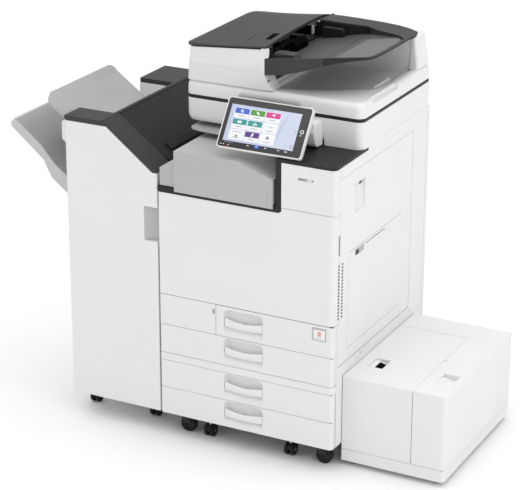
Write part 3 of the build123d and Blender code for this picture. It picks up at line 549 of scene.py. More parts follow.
def drape(name, outline, top, bottom, pitch=12.0):
    """A plan outline whose top and bottom heights are functions of x and y (or numbers)."""
    high = top if callable(top) else (lambda x, y: top)
    low = bottom if callable(bottom) else (lambda x, y: bottom)
    work = bmesh.new()
    work.faces.new([work.verts.new((x, y, 0.0)) for x, y in outline])
    for axis in (0, 1):
        values = [p[axis] for p in outline]
        count = max(1, int((max(values) - min(values)) / pitch))
        for i in range(1, count):
            at = min(values) + (max(values) - min(values)) * i / count
            where = [0.0, 0.0, 0.0]
            where[axis] = at
            normal = [0.0, 0.0, 0.0]
            normal[axis] = 1.0
            bmesh.ops.bisect_plane(work, geom=work.verts[:] + work.edges[:] + work.faces[:],
                                   plane_co=where, plane_no=normal)
    work.verts.index_update()
    count = len(work.verts)
    verts = [(v.co.x, v.co.y, high(v.co.x, v.co.y)) for v in work.verts]
    verts += [(v.co.x, v.co.y, low(v.co.x, v.co.y)) for v in work.verts]
    faces = []
    for face in work.faces:
        ids = [v.index for v in face.verts]
        faces.append(tuple(ids))
        faces.append(tuple(i + count for i in reversed(ids)))
    for edge in work.edges:
        if edge.is_boundary:
            a, b = (v.index for v in edge.verts)
            faces.append((a, b, b + count, a + count))
    work.free()
    return mesh_piece(name, verts, faces)


def merge(obj, *others):
    """Adds more meshes to a piece without a boolean."""
    work = bmesh.new()
    for item in (obj, *others):
        work.from_mesh(item.data)
    work.to_mesh(obj.data)
    work.free()
    for item in others:
        bpy.data.objects.remove(item)
    return obj


plastic("cover_dark", (0.034, 0.034, 0.036), 0.42, grain=0.9, bump=0.25, drift=0.1)
plastic("tray_floor", (0.075, 0.075, 0.077), 0.4, grain=1.2, bump=0.2, drift=0.08)
plastic("tray_floor_far", (0.15, 0.15, 0.152), 0.36, grain=1.2, bump=0.2, drift=0.08)

OVER = 1262.0  # above the whole feeder, so a cutter up to here comes out at the top


def housing_top(x):
    return 1213.0 + 20.0 * clamp((x - 26.0) / 238.0)


def cover_top(x, y):
    rise = 20.0 * max(0.0, (x - 16.0) / 257.0) ** 1.6
    crown = 4.0 * math.sin(math.pi * clamp((y - 179.0) / 485.0)) * clamp((x + 10.0) / 200.0)
    roll = 0.0115 * max(0.0, 16.0 - x) ** 2 + 16.0 * max(0.0, (y - 575.0) / 89.0) ** 2
    return 1225.0 + rise + crown - roll


def cover_low(x, y):
    low = 1216.2 + 0.0905 * max(0.0, x - 16.0) - 0.12 * max(0.0, 16.0 - x)
    return min(low, cover_top(x, y) - 3.4)


rings = []
for t in (0.0, 0.02, 0.3, 0.5, 0.54, 0.8, 0.97, 1.0):
    left = 0.3 + 8.5 * t
    front = 178.4 + 3.2 * clamp((t - 0.52) / 0.48)
    ring = rounded([(left, front), (264.0, front), (264.0, 681.5), (left, 681.5)], [17, 0, 0, 30], 8)
    rings.append([(x, y, 1110.3 + (housing_top(x) - 1110.3) * t) for x, y in ring])
housing = loft("feeder_housing_shell", rings)
MOUTH_Y = (234, 550)
for x, y, z in (((11, 258), (188, 674), (1118, 1193)), ((40, 258), (230, 560), (1183, 1240)),
                ((255, 266), MOUTH_Y, (1184, 1240)), ((255, 266), MOUTH_Y, (1122, 1150))):
    carve(housing, slab("cut", x, y, z))
carve(housing, drape("rear_step", rect((-14, 270), (636, 690)), OVER,
                     lambda x, y: cover_top(x, min(y, 663)) - 5.0))
for x, z in (((243, 243.6), (1100, 1240)), ((-5, 270), (1163.0, 1163.4))):
    carve(housing, slab("seam", x, (170, 179.2), z))
soften(housing, 1.6, 3)
dress(housing, *FEEDER, replaces=["feeder_housing"])
for number, ear_y in enumerate((300, 450)):
    ear = slab(f"roller_ear_{number}", (210, 240), (ear_y, ear_y + 8), (1180.4, 1207))
    carve(ear, lathe("bore", [(4.15, ear_y - 1), (4.15, ear_y + 9)], "y", (225, 1196), 24))
    dress(soften(ear, 0.6), *FEEDER, "charcoal_dark")
dress(soften(slab("roller_shelf", (11, 240), (300, 458), (1176, 1180.3)), 0.6), *FEEDER, "charcoal_dark")
# A flat black lining round the throat opening: painted shade inside the feeder's throat.
liner = slab("throat_shade_liner", (39.9, 259), (229.9, 560.1), (1184, 1214))
carve(liner, slab("hollow", (41, 262), (231, 559), (1180, 1240)))
dress(soften(liner, 0.2), *FEEDER, "void_black")
lobe = prism("feeder_lobe", rounded([(252, 1176), (264, 1176), (264, 1207), (275, 1209), (277, 1222),
                                     (276, 1238), (252, 1236)], [0, 0, 1, 2, 8, 3, 0], 5), "y", 180.6, 188)
dress(soften(lobe, 0.8, 3), *FEEDER)
wedge = prism("feeder_cheek", rounded([(250, 1110.6), (292, 1110.6), (283, 1120), (264.5, 1156),
                                       (250, 1156)], [0, 0, 16, 12, 0], 6), "y", 179.0, 236)
dress(soften(wedge, 1.4, 3), *FEEDER)
flag = prism("sensor_flag", rounded([(274, 1139), (281, 1145.5), (285, 1145), (283, 1141.5), (276, 1137)],
                                    1.0, 3), "y", 176.6, 179.4)
dress(soften(flag, 0.4), *FEEDER, "black_plastic")


COVER_PLAN = [(-10, 250), (-8.5, 222), (-3, 200), (6, 187), (18, 180.5), (34, 179.2), (120, 179), (200, 179),
              (262, 179), (269, 179.6), (271.5, 183), (269, 220), (264.5, 292), (259.5, 398), (257, 494),
              (256.5, 570), (257.5, 663), (180, 663.5), (110, 661), (66, 652), (32, 635), (8, 607), (-5, 578),
              (-10, 545), (-10, 400)]
cover = drape("feeder_cover_shell", COVER_PLAN, cover_top, cover_low, 9.0)
LEVER = [(174, 247), (225, 258), (217, 333), (166, 325)]
LEVER_SLOT = [(226, 258), (245, 260), (239, 332), (218, 332)]
carve(cover, drape("lever_pocket", rounded(LEVER, 1.5, 3), OVER, lambda x, y: cover_top(x, y) - 1.6))
carve(cover, drape("lever_slot", rounded(LEVER_SLOT, 1.0, 3), OVER, lambda x, y: cover_top(x, y) - 1.5))
soften(cover, 1.5, 3, 40)
dress(cover, *FEEDER_COVER, "cover_dark", replaces=["feeder_cover"])
plate = drape("feeder_lever", rounded([(175.4, 248.6), (223.8, 259.2), (216, 331.6), (167.6, 323.8)], 1.5, 3),
              lambda x, y: cover_top(x, y) - 0.1, lambda x, y: cover_top(x, y) - 1.4)
dress(soften(plate, 0.5), *FEEDER_COVER, "cover_dark")
# The slot beside the lever is filled with a flat black sheet: painted shade of the slot's opening.
black = drape("feeder_lever_slot_shade", rounded([(226.6, 258.8), (244.2, 260.8), (238.4, 331.4), (218.8, 331.4)],
                                           0.8, 3),
              lambda x, y: cover_top(x, y) + 0.3, lambda x, y: cover_top(x, y) - 1.4)
dress(black, *FEEDER_COVER, "void_black")
for number in range(5):
    rib_y = 262 + number * 66
    rib = drape(f"cover_rib_{number}", rect((70, 250), (rib_y, rib_y + 3)),
                lambda x, y: cover_low(x, y) + 0.5, lambda x, y: cover_low(x, y) - 3.0)
    dress(rib, *FEEDER_COVER, "charcoal_dark")

# the tray that takes the originals: a skirt that runs on into the rim, a sloping floor, a rear wing
TRAY_PATH = [(265.5, 181), (300, 181), (345, 181), (400, 181.5), (432, 184), (450, 191), (475, 206),
             (520, 235), (550, 254), (562, 262), (569, 272), (574, 292), (579, 344), (580, 430), (580, 510),
             (585, 540), (585.5, 560), (574, 598), (540, 620), (497, 636), (443, 645), (391, 649), (351, 651),
             (290, 651), (262, 650), (262, 596), (265.5, 560)]
RIM = [(265, 1207), (315, 1215), (380, 1222.3), (445, 1229.5), (465, 1230), (586, 1229)]
UNDER = [(265, 1157), (300, 1160), (315, 1162.6), (380, 1181), (445, 1203), (480, 1212), (520, 1218),
         (566, 1221.5), (586, 1222.5)]
FLOOR = [(261, 1184), (463, 1214.5), (586, 1224.5)]
WING_IN = [(255, 560), (337, 559.5), (394, 570), (415, 575), (437, 566), (460, 552), (504, 541), (540, 530),
           (566, 508), (574, 498)]
WING_OUT = [(262, 650), (351, 651), (391, 649), (443, 645), (497, 636), (540, 620), (574, 598), (586, 560)]


def tray_top(x, y):
    front = along(RIM, x)
    inside = along([(262, 1238.5), (340, 1236), (415, 1232), (460, 1230), (586, 1228.5)], x)
    outside = along([(262, 1233), (300, 1233), (360, 1232), (442, 1231), (586, 1228)], x)
    if y < 500:
        return front + (inside - front) * clamp((y - 300) / 200)
    near, far = along(WING_IN, x), along(WING_OUT, x)
    return inside + (outside - inside) * clamp((y - near) / max(4.0, far - near)) ** 1.5


def tray_under(x, y):
    front = along(UNDER, x)
    rear = along([(262, 1222), (268, 1219), (280, 1215), (294, 1212.8)], x)
    return front + (max(front, rear) - front) * clamp((y - 560) / 36)


tray = drape("input_tray_shell", TRAY_PATH, tray_top, tray_under, 11.0)
inner = [(255, 187), (300, 187), (400, 187.5), (430, 190), (447, 197), (472, 212), (517, 241), (548, 260),
         (557, 266), (562, 275), (567, 294), (572.5, 344), (573.5, 430), (573.5, 490)]
well = inner + [(x, y) for x, y in reversed(WING_IN[:-1])]
carve(tray, drape("well", well, OVER, lambda x, y: along(FLOOR, x), 14.0))
soften(tray, 1.1, 3, 40)
dress(tray, *INPUT_TRAY, "cover_dark", replaces=["input_tray"])


def above_floor(height):
    """A surface at a height over the tray's sloping floor."""
    return lambda x, y: along(FLOOR, x) + height


near = [(266, 188), (300, 188), (400, 188.5), (424, 190), (424, 568), (415, 573.4), (394, 568.4), (337, 558),
        (266, 558.4)]
dress(soften(drape("tray_floor_near", near, above_floor(0.6), above_floor(0.02)), 0.2), *INPUT_TRAY,
      "tray_floor")
# The well's back wall is lined in the darker charcoal: painted shade on that upright wall.
back_wall = [(266, 558.6), (337, 558.2), (394, 568.6), (415, 573.6), (424, 569),
             (424, 567), (415, 571.4), (394, 566.4), (337, 556.2), (266, 556.6)]
dress(drape("tray_back", back_wall, lambda x, y: along([(266, 1234), (340, 1232), (424, 1227)], x),
            above_floor(0.3)), *INPUT_TRAY, "charcoal_dark")
far = [(428, 191.5), (447, 198), (472, 213), (516.5, 242), (547, 261), (556, 267), (561, 276), (566, 295),
       (571.5, 344), (572.5, 430), (572.5, 495), (565, 506), (539, 528.5), (503.6, 539.4), (459.5, 550.4),
       (437, 564), (428, 569)]
dress(soften(drape("tray_floor_far", far, above_floor(1.2), above_floor(0.02)), 0.5), *INPUT_TRAY,
      "tray_floor")
inset = [(455, 214), (474, 221), (515, 248), (543, 267), (553, 275), (558, 300), (563, 345), (564, 430),
         (563, 492), (546, 522), (520, 516), (458, 484)]
dress(soften(drape("tray_inset", inset, above_floor(1.9), above_floor(0.9)), 0.5), *INPUT_TRAY,
      "tray_floor_far")
for number, (mark_x, mark_y) in enumerate(((446, 514), (478, 521), (503, 526))):
    dot = drape(f"tray_mark_{number}", rect((mark_x, mark_x + 9), (mark_y, mark_y + 5), 1.5, 3),
                above_floor(1.7), above_floor(1.0))
    dress(dot, *INPUT_TRAY, "black_plastic")
band = []
for x, y in ((449, 190.2), (475, 205.4), (520, 234.4), (550, 253.4), (562.3, 261.5), (569.5, 271.8),
             (574.6, 291.9), (579.6, 344), (580.6, 430), (580.6, 510), (585.6, 540), (586.1, 560),
             (574.4, 598.4)):
    low, high = along(UNDER, x) + 0.8, along(RIM, x) - 1.6
    band.append([(x, y, low), (x, y, high), (x - 2.5, y + 2.2, high), (x - 2.5, y + 2.2, low)])
dress(smooth_shade(loft("tray_rim_band", band), 50), *INPUT_TRAY, "charcoal_dark")
pad = prism("separation_block", rounded([(262, 1186), (286, 1189), (285, 1206), (275, 1217), (262, 1219)],
                                        [0, 2, 6, 6, 0], 5), "y", 352, 430)
dress(soften(pad, 1.5, 3), *FEEDER, "void_black")
latch_line = [(265.5, 1206), (270, 1206), (271, 1218), (269, 1233), (265.5, 1233)]
latch = prism("throat_latch", rounded(latch_line, 2, 3), "y", 493, 503)
dress(soften(latch, 1.0, 3), *FEEDER, "tray_gray")
dress(soften(slab("feeder_top_strip", (257.6, 264.5), (560, 660), (1229.0, 1233.4)), 0.4), *FEEDER,
      "charcoal_dark")
side = slab("feeder_side", (264.1, 265.3), (188, 681), (1156, 1232.6))
for y, z in ((MOUTH_Y, (1184, 1240)), ((640, 690), (1219, 1240)), (MOUTH_Y, (1120, 1150))):
    carve(side, slab("opening", (260, 270), y, z))
dress(soften(side, 0.3), *FEEDER, "charcoal_dark")
for number, jamb_y in enumerate((234.0, 549.2)):
    jamb = slab(f"mouth_jamb_{number}", (255.4, 264.4), (jamb_y, jamb_y + 0.8), (1184, 1232.4))
    dress(jamb, *FEEDER, "charcoal_dark")
dress(slab("mouth_sill", (255.4, 264.4), MOUTH_Y, (1183.4, 1184.4)), *FEEDER, "charcoal_dark")

# The rear guide takes the darker charcoal as painted shade at the back of the tray; the front guide keeps the
# cover's dark gray.
for name, near_y, far_y, look in (("guide_front", 199, 236, "cover_dark"),
                                  ("guide_rear", 531, 549, "charcoal_dark")):
    outline = rounded([(283, 1188.5), (358, 1200.5), (358, 1212), (350, 1223.5), (286, 1223.5), (283, 1219)],
                      [2, 3, 6, 8, 4, 3], 6)
    guide = prism(name + "_shell", outline, "y", near_y, far_y)
    dress(soften(guide, 2.2, 3), name, "charcoal_cover", look, [name])

# ---- platen cover: rim, dished exit surface and the wall behind it -------------------------------
def plan_ring(inset, z, front=178.0, radii=(19, 26, 14, 14), left=0.0):
    ring = rounded([(left + inset, front + inset), (587 - inset, front + inset), (587 - inset, 682 - inset),
                    (left + inset, 682 - inset)], [max(1.0, r - inset * 0.6) for r in radii], 9)
    return [(x, y, z) for x, y in ring]


DISH_FRONT = [(268, 196), (300, 203), (359, 224), (416, 243), (484, 287), (540, 318), (563, 343), (569, 380)]


def dish(x, y):
    side = clamp((570 - x) / 50)
    front = clamp((y - along(DISH_FRONT, x)) / 95)
    soft = (3 - 2 * side) * side * side * (3 - 2 * front) * front * front
    return 1110.3 - 14.0 * soft


cover = loft("platen_cover_shell", [plan_ring(i, z) for i, z in (
    (0.6, 1065.2), (0, 1066.0), (0, 1080), (0.4, 1092), (1.6, 1099), (4.2, 1104.5), (8.5, 1108.4),
    (14, 1110.0), (16, 1110.0))])
carve(cover, slab("under", (8, 579), (188, 672), (1060, 1085)))
exit_plan = [(x, y - 1) for x, y in DISH_FRONT] + [(570, 420), (570, 600), (268, 600), (268, 200)]
carve(cover, drape("dish", exit_plan, 1130, dish, 9.0))
for slot_x, slot_y in (((528, 536), (370, 489)), ((536, 542), (499, 566))):
    carve(cover, slab("slot", slot_x, slot_y, (1095, 1130)))
carve(cover, drape("side_pocket", rounded([(573, 249), (592, 249), (592, 427), (573, 427)],
                                          [12, 0, 0, 12], 6), 1128, lambda x, y: 1095.0))
soften(cover, 0.9, 2, 40)
dress(cover, *FEEDER, replaces=["platen_cover"])
dress(soften(slab("slot_light", (529.5, 534.5), (371.5, 487.5), (1094, 1107.5)), 0.6), *FEEDER)
# The second slot gets a gray floor: painted shade at the bottom of the slot; the first slot's slab keeps the
# cover's white.
dress(slab("slot_floor_shade", (536.3, 541.7), (499.3, 565.7), (1094, 1098)), *FEEDER, "pocket_gray")

corner = []
for z in (1110.0, 1113, 1120, 1140, 1160, 1180, 1200, 1206, 1209.5, 1210.8):
    right = along([(1106, 583), (1120, 581), (1160, 574), (1200, 566), (1211, 562)], z)
    front = along([(1110, 588), (1116, 593), (1130, 597), (1211, 599)], z)
    inset = along([(1200, 0), (1206, 1.5), (1209.5, 4.0), (1210.8, 8)], z)
    ring = rounded([(552, front), (right, front), (right, 682), (552, 682)], [0, 10, 12, 0], 6)
    corner.append([(min(x, right - inset), clamp(y, front + inset, 682 - inset), z) for x, y in ring])
block = loft("rear_corner", corner)
dress(soften(block, 0.8, 2), *FEEDER)
wall = prism("rear_wall", [(580, 1094.5), (588, 1099), (595, 1108), (599, 1119), (600, 1132), (600, 1206),
                           (604, 1210.5), (676, 1210.5), (681.6, 1206), (681.6, 1094), (580, 1094)],
             "x", 266, 556)
dress(soften(wall, 1.0, 2), *FEEDER)
grip = prism("panel_hood", rounded([(185, 1082), (386, 1082), (386, 1092), (185, 1092)], [2, 2, 4, 4], 4),
             "y", 166, 179)
dress(soften(grip, 1.8, 3), *FEEDER, "tray_gray")
dress(soften(copy_node("platen_pad"), 2.0, 3), "feeder", "pad_cloth", replaces=["platen_pad"])
# ---- operation panel -----------------------------------------------------------------------------
PANEL_FOOT = Vector((197.0, 2.0, 981.0))
TILT_AXIS = (108.0, 1014.0)
PANEL_UP = Vector((0.0, 0.5693, 0.8221))
PANEL_OUT = Vector((0.0, -0.8221, 0.5693))


def panel_piece(name, outline, low, high):
    """An outline in the panel's own plane (right, up), between two heights above its face."""
    return loft(name, [[PANEL_FOOT + Vector((u, 0, 0)) + PANEL_UP * w + PANEL_OUT * level for u, w in outline]
                       for level in (low, high)])


def disc(centre, radius, steps=20):
    return [(centre[0] + radius * math.cos(2 * math.pi * i / steps),
             centre[1] + radius * math.sin(2 * math.pi * i / steps)) for i in range(steps)]


SHADES = {"ui_back": (0.46, 0.51, 0.66), "ui_pale": (0.53, 0.57, 0.70), "ui_white": (0.76, 0.77, 0.79),
          "ui_blue": (0.045, 0.10, 0.52), "ui_green": (0.07, 0.27, 0.03), "ui_magenta": (0.60, 0.03, 0.24),
          "ui_teal": (0.03, 0.27, 0.27), "ui_purple": (0.09, 0.035, 0.22), "ui_bar": (0.035, 0.035, 0.04),
          "ui_gray": (0.25, 0.25, 0.27), "ui_red": (0.5, 0.02, 0.02), "ui_glow": (0.25, 0.4, 0.95)}
for shade_name, shade_color in SHADES.items():
    lit(shade_name, shade_color, 0.1)

housing = panel_piece("panel_housing_shell", rect((-1.0, 275), (-2.0, 155.0), 9, 8), -14.0, -0.2)
carve(housing, panel_piece("tray", rect((2.2, 271.4), (1.0, 152.0), 7, 8), -2.4, 5.0))
carve(housing, panel_piece("back", rect((12, 262), (10, 142), 5, 4), -20.0, -12.6))
soften(housing, 1.3, 3)
for number, ear_x in enumerate((318, 408)):
    cheek = rounded([(112, 1025), (96, 1024), (35, 1016), (28, 1002), (104, 1004), (118, 1008)],
                    [8, 4, 0, 0, 4, 8], 5)
    ear = prism(f"panel_ear_{number}", cheek, "x", ear_x, ear_x + 8)
    carve(ear, lathe("pin", [(4.1, ear_x - 1), (4.1, ear_x + 9)], "x", TILT_AXIS, 24))
    dress(soften(ear, 0.8), *PANEL)
dress(housing, *PANEL, replaces=["panel_housing"])
glass_plate = panel_piece("panel_glass", rect((2.8, 270.8), (1.6, 151.4), 6.5, 8), -2.2, -0.6)
dress(soften(glass_plate, 0.3), *SCREEN, "bezel_black", replaces=["panel_screen"])

ui_count = 0


def patch(outline, color, layer=1):
    """One flat area of the picture on the display."""
    global ui_count
    ui_count += 1
    piece = panel_piece(f"display_{ui_count:02d}", outline, -0.6, -0.6 + 0.05 * layer)
    dress(piece, *SCREEN, color)


SCREEN_U, SCREEN_W = (15.5, 243.5), (20.0, 133.0)
patch(rect(SCREEN_U, SCREEN_W), "ui_back")
patch([(180, 20), (243.5, 20), (243.5, 133), (205, 133), (196, 90), (186, 52)], "ui_pale", 2)
patch([(150, 133), (205, 133), (190, 100), (170, 60), (184, 20), (130, 20), (140, 80)], "ui_pale", 1.6)

# Each tile's place (column, row), its colour and its pictogram: (layer, outline) about the middle.
TILES = {
    (0, 0): ("ui_blue", [(5, rect((-5, 2), (-4, 4), 1, 3))]),
    (1, 0): ("ui_green", [(5, [(-6, 4), (1, 4), (7, -3), (2, -6), (-3, -1)])]),
    (2, 0): ("ui_magenta", [(5, [(-7, 1), (7, 5), (2, -5), (0, -1)])]),
    (0, 1): ("ui_teal", [(5, rect((-7, 4), (-4, 3), 1, 3)), (6, [(3, 5), (8, 0), (3, -5)])]),
    (1, 1): ("ui_teal", [(5, rect((u - 1.6, u + 1.6), (-5, 4 - abs(u) * 0.6))) for u in (-5, 0, 5)]),
    (2, 1): (None, [(5, rect((u - 1.6, u + 1.6), (-4 + abs(u) * 0.2, -1))) for u in (-9, -3, 3, 9)]),
    (0, 2): (None, [(5, rect((-15, 15), (2, 3.6))), (5, rect((-3, 5), (-13, -7), 1, 3))]),
    (1, 2): ("ui_purple", [(5, [(-4, -6), (1, -6), (5, 3), (2, 6), (-1, 4)])]),
    (2, 2): (None, [(5, disc((0, -2), 5.0))]),
}
TILE_PITCH = (50.5, 33.6)
for (column, row), (color, shapes) in TILES.items():
    u0 = 31.0 + TILE_PITCH[0] * column
    w1 = 123.5 - TILE_PITCH[1] * row
    patch(rect((u0 - 1.5, u0 + 47.5), (w1 - 30.0, w1 + 1.5), 2, 3), "ui_white", 3)
    if color:
        patch(rect((u0, u0 + 46.0), (w1 - 16.5, w1), 1.5, 3), color, 4)
    patch(rect((u0 + 12, u0 + 34), (w1 - 24.0, w1 - 22.2)), "ui_gray", 4)
    for layer, outline in shapes:
        patch([(u0 + 23.0 + u, w1 - 8.2 + w) for u, w in outline], "ui_white" if color else "ui_gray", layer)
    if (column, row) == (0, 0):
        patch(rect((u0 + 22.0, u0 + 29.0), (w1 - 14.2, w1 - 7.2), 1, 3), "ui_glow", 6)
for side_u, way in ((22.5, -1), (236.5, 1)):
    patch([(side_u - way * 2, 80), (side_u - way * 0.6, 80), (side_u + way * 2.6, 74.7),
           (side_u - way * 0.6, 69.4), (side_u - way * 2, 69.4),
           (side_u + way * 1.2, 74.7)], "ui_gray", 3)
patch(rect((231.5, 240.5), (27.5, 36.5), 1.5, 3), "ui_gray", 3)
patch(rect((233, 239), (29, 35), 1, 3), "ui_pale", 4)
patch(rect((239, 243.5), (128, 133)), "ui_white", 3)
patch(rect((120, 137), (10.5, 19.0), 4, 4), "ui_blue", 1)
patch(disc((128.5, 15.0), 3.2), "ui_glow", 2)
patch(rect((22, 50), (15.2, 16.6)), "ui_gray", 1)
patch(disc((38, 8.0), 1.8), "ui_white", 1)
patch(disc((35, 3.4), 2.6), "ui_red", 1)
for mark_u, mark_w, reach in ((13, 9, 2.2), (22, 9, 1.8), (100, 14.5, 3.0), (157, 15.0, 2.8),
                              (199, 15.0, 2.8),
                              (223, 14.2, 4.5)):
    patch(rect((mark_u - reach, mark_u + reach), (mark_w - 1.3, mark_w + 1.3), 0.8, 3), "ui_white", 1)
ring_piece = panel_piece("panel_ring", disc((257.0, 80.0), 6.2, 28), -0.6, -0.5)
carve(ring_piece, panel_piece("ring_hole", disc((257.0, 80.0), 3.9, 28), -2.0, 1.0))
dress(ring_piece, *SCREEN, "ui_white")
patch(rect((252, 258), (67.6, 69.6)), "ui_white", 1)

bracket = rounded([(177.2, 1052), (150, 1053), (128, 1048), (116, 1022), (128, 985), (140, 975),
                   (177.2, 971.5)],
                  [0, 4, 8, 10, 10, 4, 0], 6)
mount = prism("panel_mount_shell", bracket, "x", 419.5, 459.0)
carve(mount, prism("facet", [(459.5, 1060), (459.5, 1040), (448, 1060)], "y", 100, 190))
soften(mount, 2.2, 3)
arm = prism("panel_arm", rounded([(105, 1022.4), (177, 1040), (177, 1012), (122, 980.5), (104, 1006)],
                                 [9, 0, 0, 6, 9], 6), "x", 330, 404)
dress(soften(arm, 2.0, 3), *MAIN)
pin = lathe("panel_pin", [(3.0, 317), (4.0, 318), (4.0, 416), (3.0, 417)], "x", TILT_AXIS, 24)
dress(soften(pin, 0.2), *MAIN, "bright_steel")
link_block = slab("panel_link", (404, 421), (140, 177.2), (977, 1027))
dress(soften(link_block, 1.5, 2), *MAIN)
dress(mount, *MAIN, replaces=["panel_mount"])
# ---- scanner -------------------------------------------------------------------------------------
scanner = loft("scanner_housing_shell", [plan_ring(i, z, left=l) for i, z, l in (
    (22, 978.0, 3), (12, 980.5, 2), (6, 985.0, 1), (2.4, 992.0, 0.4), (0.6, 1001.0, 0),
    (0.2, 1014.0, 0), (0.2, 1050.0, 0), (0.8, 1053.9, 0))])
carve(scanner, slab("scan_hollow", (8, 578), (216, 672), (986, 1047)))
for x in ((54, 500), (18, 40)):  # the openings over the platen glass and the strip beside it
    carve(scanner, slab("window", x, (226, 530), (1040, 1051)))
    carve(scanner, slab("glass_seat", (x[0] - 4, x[1] + 4), (222, 534), (1050.5, 1056)))
soften(scanner, 0.8, 2, 40)
dress(scanner, *MAIN, replaces=["scanner_housing"])
trim = loft("scanner_trim_shell", [plan_ring(i, z) for i, z in (
    (1.6, 1054.1), (1.0, 1054.8), (1.0, 1062.2), (1.6, 1063.0))])
carve(trim, slab("trim_hole", (8, 579), (188, 672), (1050, 1066)))
dress(soften(trim, 0.4), "main", "charcoal_cover", "charcoal_dark", replaces=["scanner_trim"])
stand_plan = rounded([(462, 178.5), (586.8, 178.5), (586.8, 300), (462, 300)], [3, 26, 0, 0], 9)
stand = prism("scanner_stand", stand_plan, "z", 970.3, 1004)
carve(stand, slab("stand_hollow", (466, 582.8), (221, 310), (960, 1010)))
dress(soften(stand, 0.8, 2, 40), *MAIN)
dress(soften(slab("scanner_flank", (576, 586.6), (299.5, 667), (975.6, 1004)), 0.6), *MAIN)
shelf_plan = rounded([(24, 150), (384, 120), (384, 560), (24, 560)], [22, 10, 8, 8], 6)
shelf = drape("one_bin_tray_shell", shelf_plan, lambda x, y: 966.5 + 3.0 * clamp((60 - x) / 40),
              lambda x, y: 962.2 + 2.5 * clamp((60 - x) / 40), 20.0)
soften(shelf, 1.2, 3)
dress(shelf, *seat("one_bin_tray"), "tray_gray", replaces=["one_bin_tray"])
stop = slab("one_bin_stop", (30, 384), (556, 600), (962, 970))
dress(soften(stop, 1.5, 2), *seat("one_bin_tray"), "tray_gray")

# ---- front and side covers -----------------------------------------------------------------------
upper = front_plate("front_upper_cover_shell", (412, 587), (823.2, 961.4), 24.0)
carve(upper, slab("upper_hollow", (417, 563), (4, 26), (829, 956)))
carve(upper, prism("sensor_slot", rect((465, 515), (916.8, 924.4), 3.7, 6), "y", -2, 3))
soften(upper, 1.2, 3)
dress(upper, *MAIN, replaces=["front_upper_cover"])
dress(slab("upper_return", (581.4, 587.0), (24, 37), (823.2, 961.4)), *MAIN)
lens = prism("sensor_lens", rect((465.3, 514.7), (917.1, 924.1), 3.4, 6), "y", 1.4, 3)
dress(soften(lens, 0.4), *MAIN, "clear_lens")
window = prism("sensor_window", rect((467, 486), (918.2, 923), 2.2, 6), "y", 0.9, 1.6)
dress(window, *MAIN, "pocket_gray")
# A white patch under the right end of the lens: a painted highlight.
dress(prism("sensor_highlight_patch", rect((495, 510), (918.4, 922.8), 2.0, 6), "y", 0.8, 1.6), *MAIN, "paper_white")

trim_parts = copy_node("black_trim")
soften(trim_parts, 2.6, 4)
dress(trim_parts, "main", "charcoal_cover", "charcoal_dark", replaces=["black_trim"])

door = copy_node("front_door")
soften(door, 1.3, 3)
dress(door, *FRONT_DOOR, replaces=["front_door"])
# Flat black slabs in the vent slots of the front door and the right door: painted shade inside the vents.
for row in range(17):
    slot_z = 492 + row * 10.4
    dress(slab(f"door_vent_shade_{row:02d}", (583.2, 586.6), (27.0, 35.0), (slot_z, slot_z + 5.6)), *FRONT_DOOR,
          "void_black")
    dress(slab(f"side_vent_shade_{row:02d}", (583.4, 586.9), (48.0, 60.0), (slot_z, slot_z + 5.6)), *RIGHT_DOOR,
          "black_plastic")
# A gray slab filling the door's finger slot: painted shade of the recess.
finger = slab("door_finger_slot_shade", (581.0, 586.4), (22.0, 36.8), (693.4, 754.6))
dress(soften(finger, 1.0, 2), *FRONT_DOOR, "pocket_gray")
dress(slab("edge_filler", (582.5, 586.5), (23.2, 36.6), (284.0, 476.0)), *MAIN)


def side_bowl(name, outline, depth_at, face_x, steps=8):
    """A bowl behind an outline in the (y, z) plane; depth_at(y, z) is its floor."""
    cy = sum(p[0] for p in outline) / len(outline)
    cz = sum(p[1] for p in outline) / len(outline)
    rings = [[(face_x + 0.02, cy + (p[0] - cy) * 1.012, cz + (p[1] - cz) * 1.012) for p in outline]]
    for s in range(steps + 1):
        t = s / steps
        inward = 1 - 0.10 * t ** 2.0
        fall = math.sin(t * math.pi / 2)
        ring = [(cy + (p[0] - cy) * inward, cz + (p[1] - cz) * inward) for p in outline]
        rings.append([(face_x - 0.3 - (depth_at(y, z) - 0.3) * fall, y, z) for y, z in ring])
    for shrink in (0.66, 0.44, 0.22, 0.04):
        ring = [(cy + (p[0] - cy) * shrink, cz + (p[1] - cz) * shrink) for p in outline]
        rings.append([(face_x - depth_at(y, z), y, z) for y, z in ring])
    return loft(name, rings, caps=False)


right = copy_node("right_door")
soften(right, 1.1, 3)
dress(right, *RIGHT_DOOR, replaces=["right_door"])
pocket_line = rect((137.6, 204.4), (796.6, 882.4), 7, 6)


def pocket_depth(y, z):
    return 2.0 + 9.5 * clamp((y - 137) / 60) ** 0.9 * (0.45 + 0.55 * clamp((z - 796) / 80))


dress(smooth_shade(side_bowl("side_door_bowl", pocket_line, pocket_depth, 587.0), 60), *RIGHT_DOOR)
dress(soften(slab("side_door_catch", (572, 579), (176, 198), (868, 879)), 1.0), *RIGHT_DOOR,
      "black_plastic")

bypass = copy_node("bypass_tray")
carve(bypass, slab("bypass_groove", (585.6, 590), (215, 358), (670.5, 673.5)))
carve(bypass, slab("bypass_line", (586.4, 590), (112, 466), (391.5, 392.3)))
soften(bypass, 1.1, 3)
dress(bypass, *seat("bypass_tray"), replaces=["bypass_tray"])
catch = slab("bypass_latch", (582.1, 586.2), (142, 203), (657, 675))
dress(soften(catch, 1.2, 3), *seat("bypass_tray"), "gray_cover")
dress(soften(slab("bypass_latch_gap", (584.6, 586.5), (148, 170), (655.5, 671)), 0.8, 2),
      *seat("bypass_tray"), "charcoal_dark")
dress(slab("bypass_shadow", (584.9, 586.1), (215.3, 357.7), (670.7, 673.3)), *seat("bypass_tray"),
      "charcoal_dark")

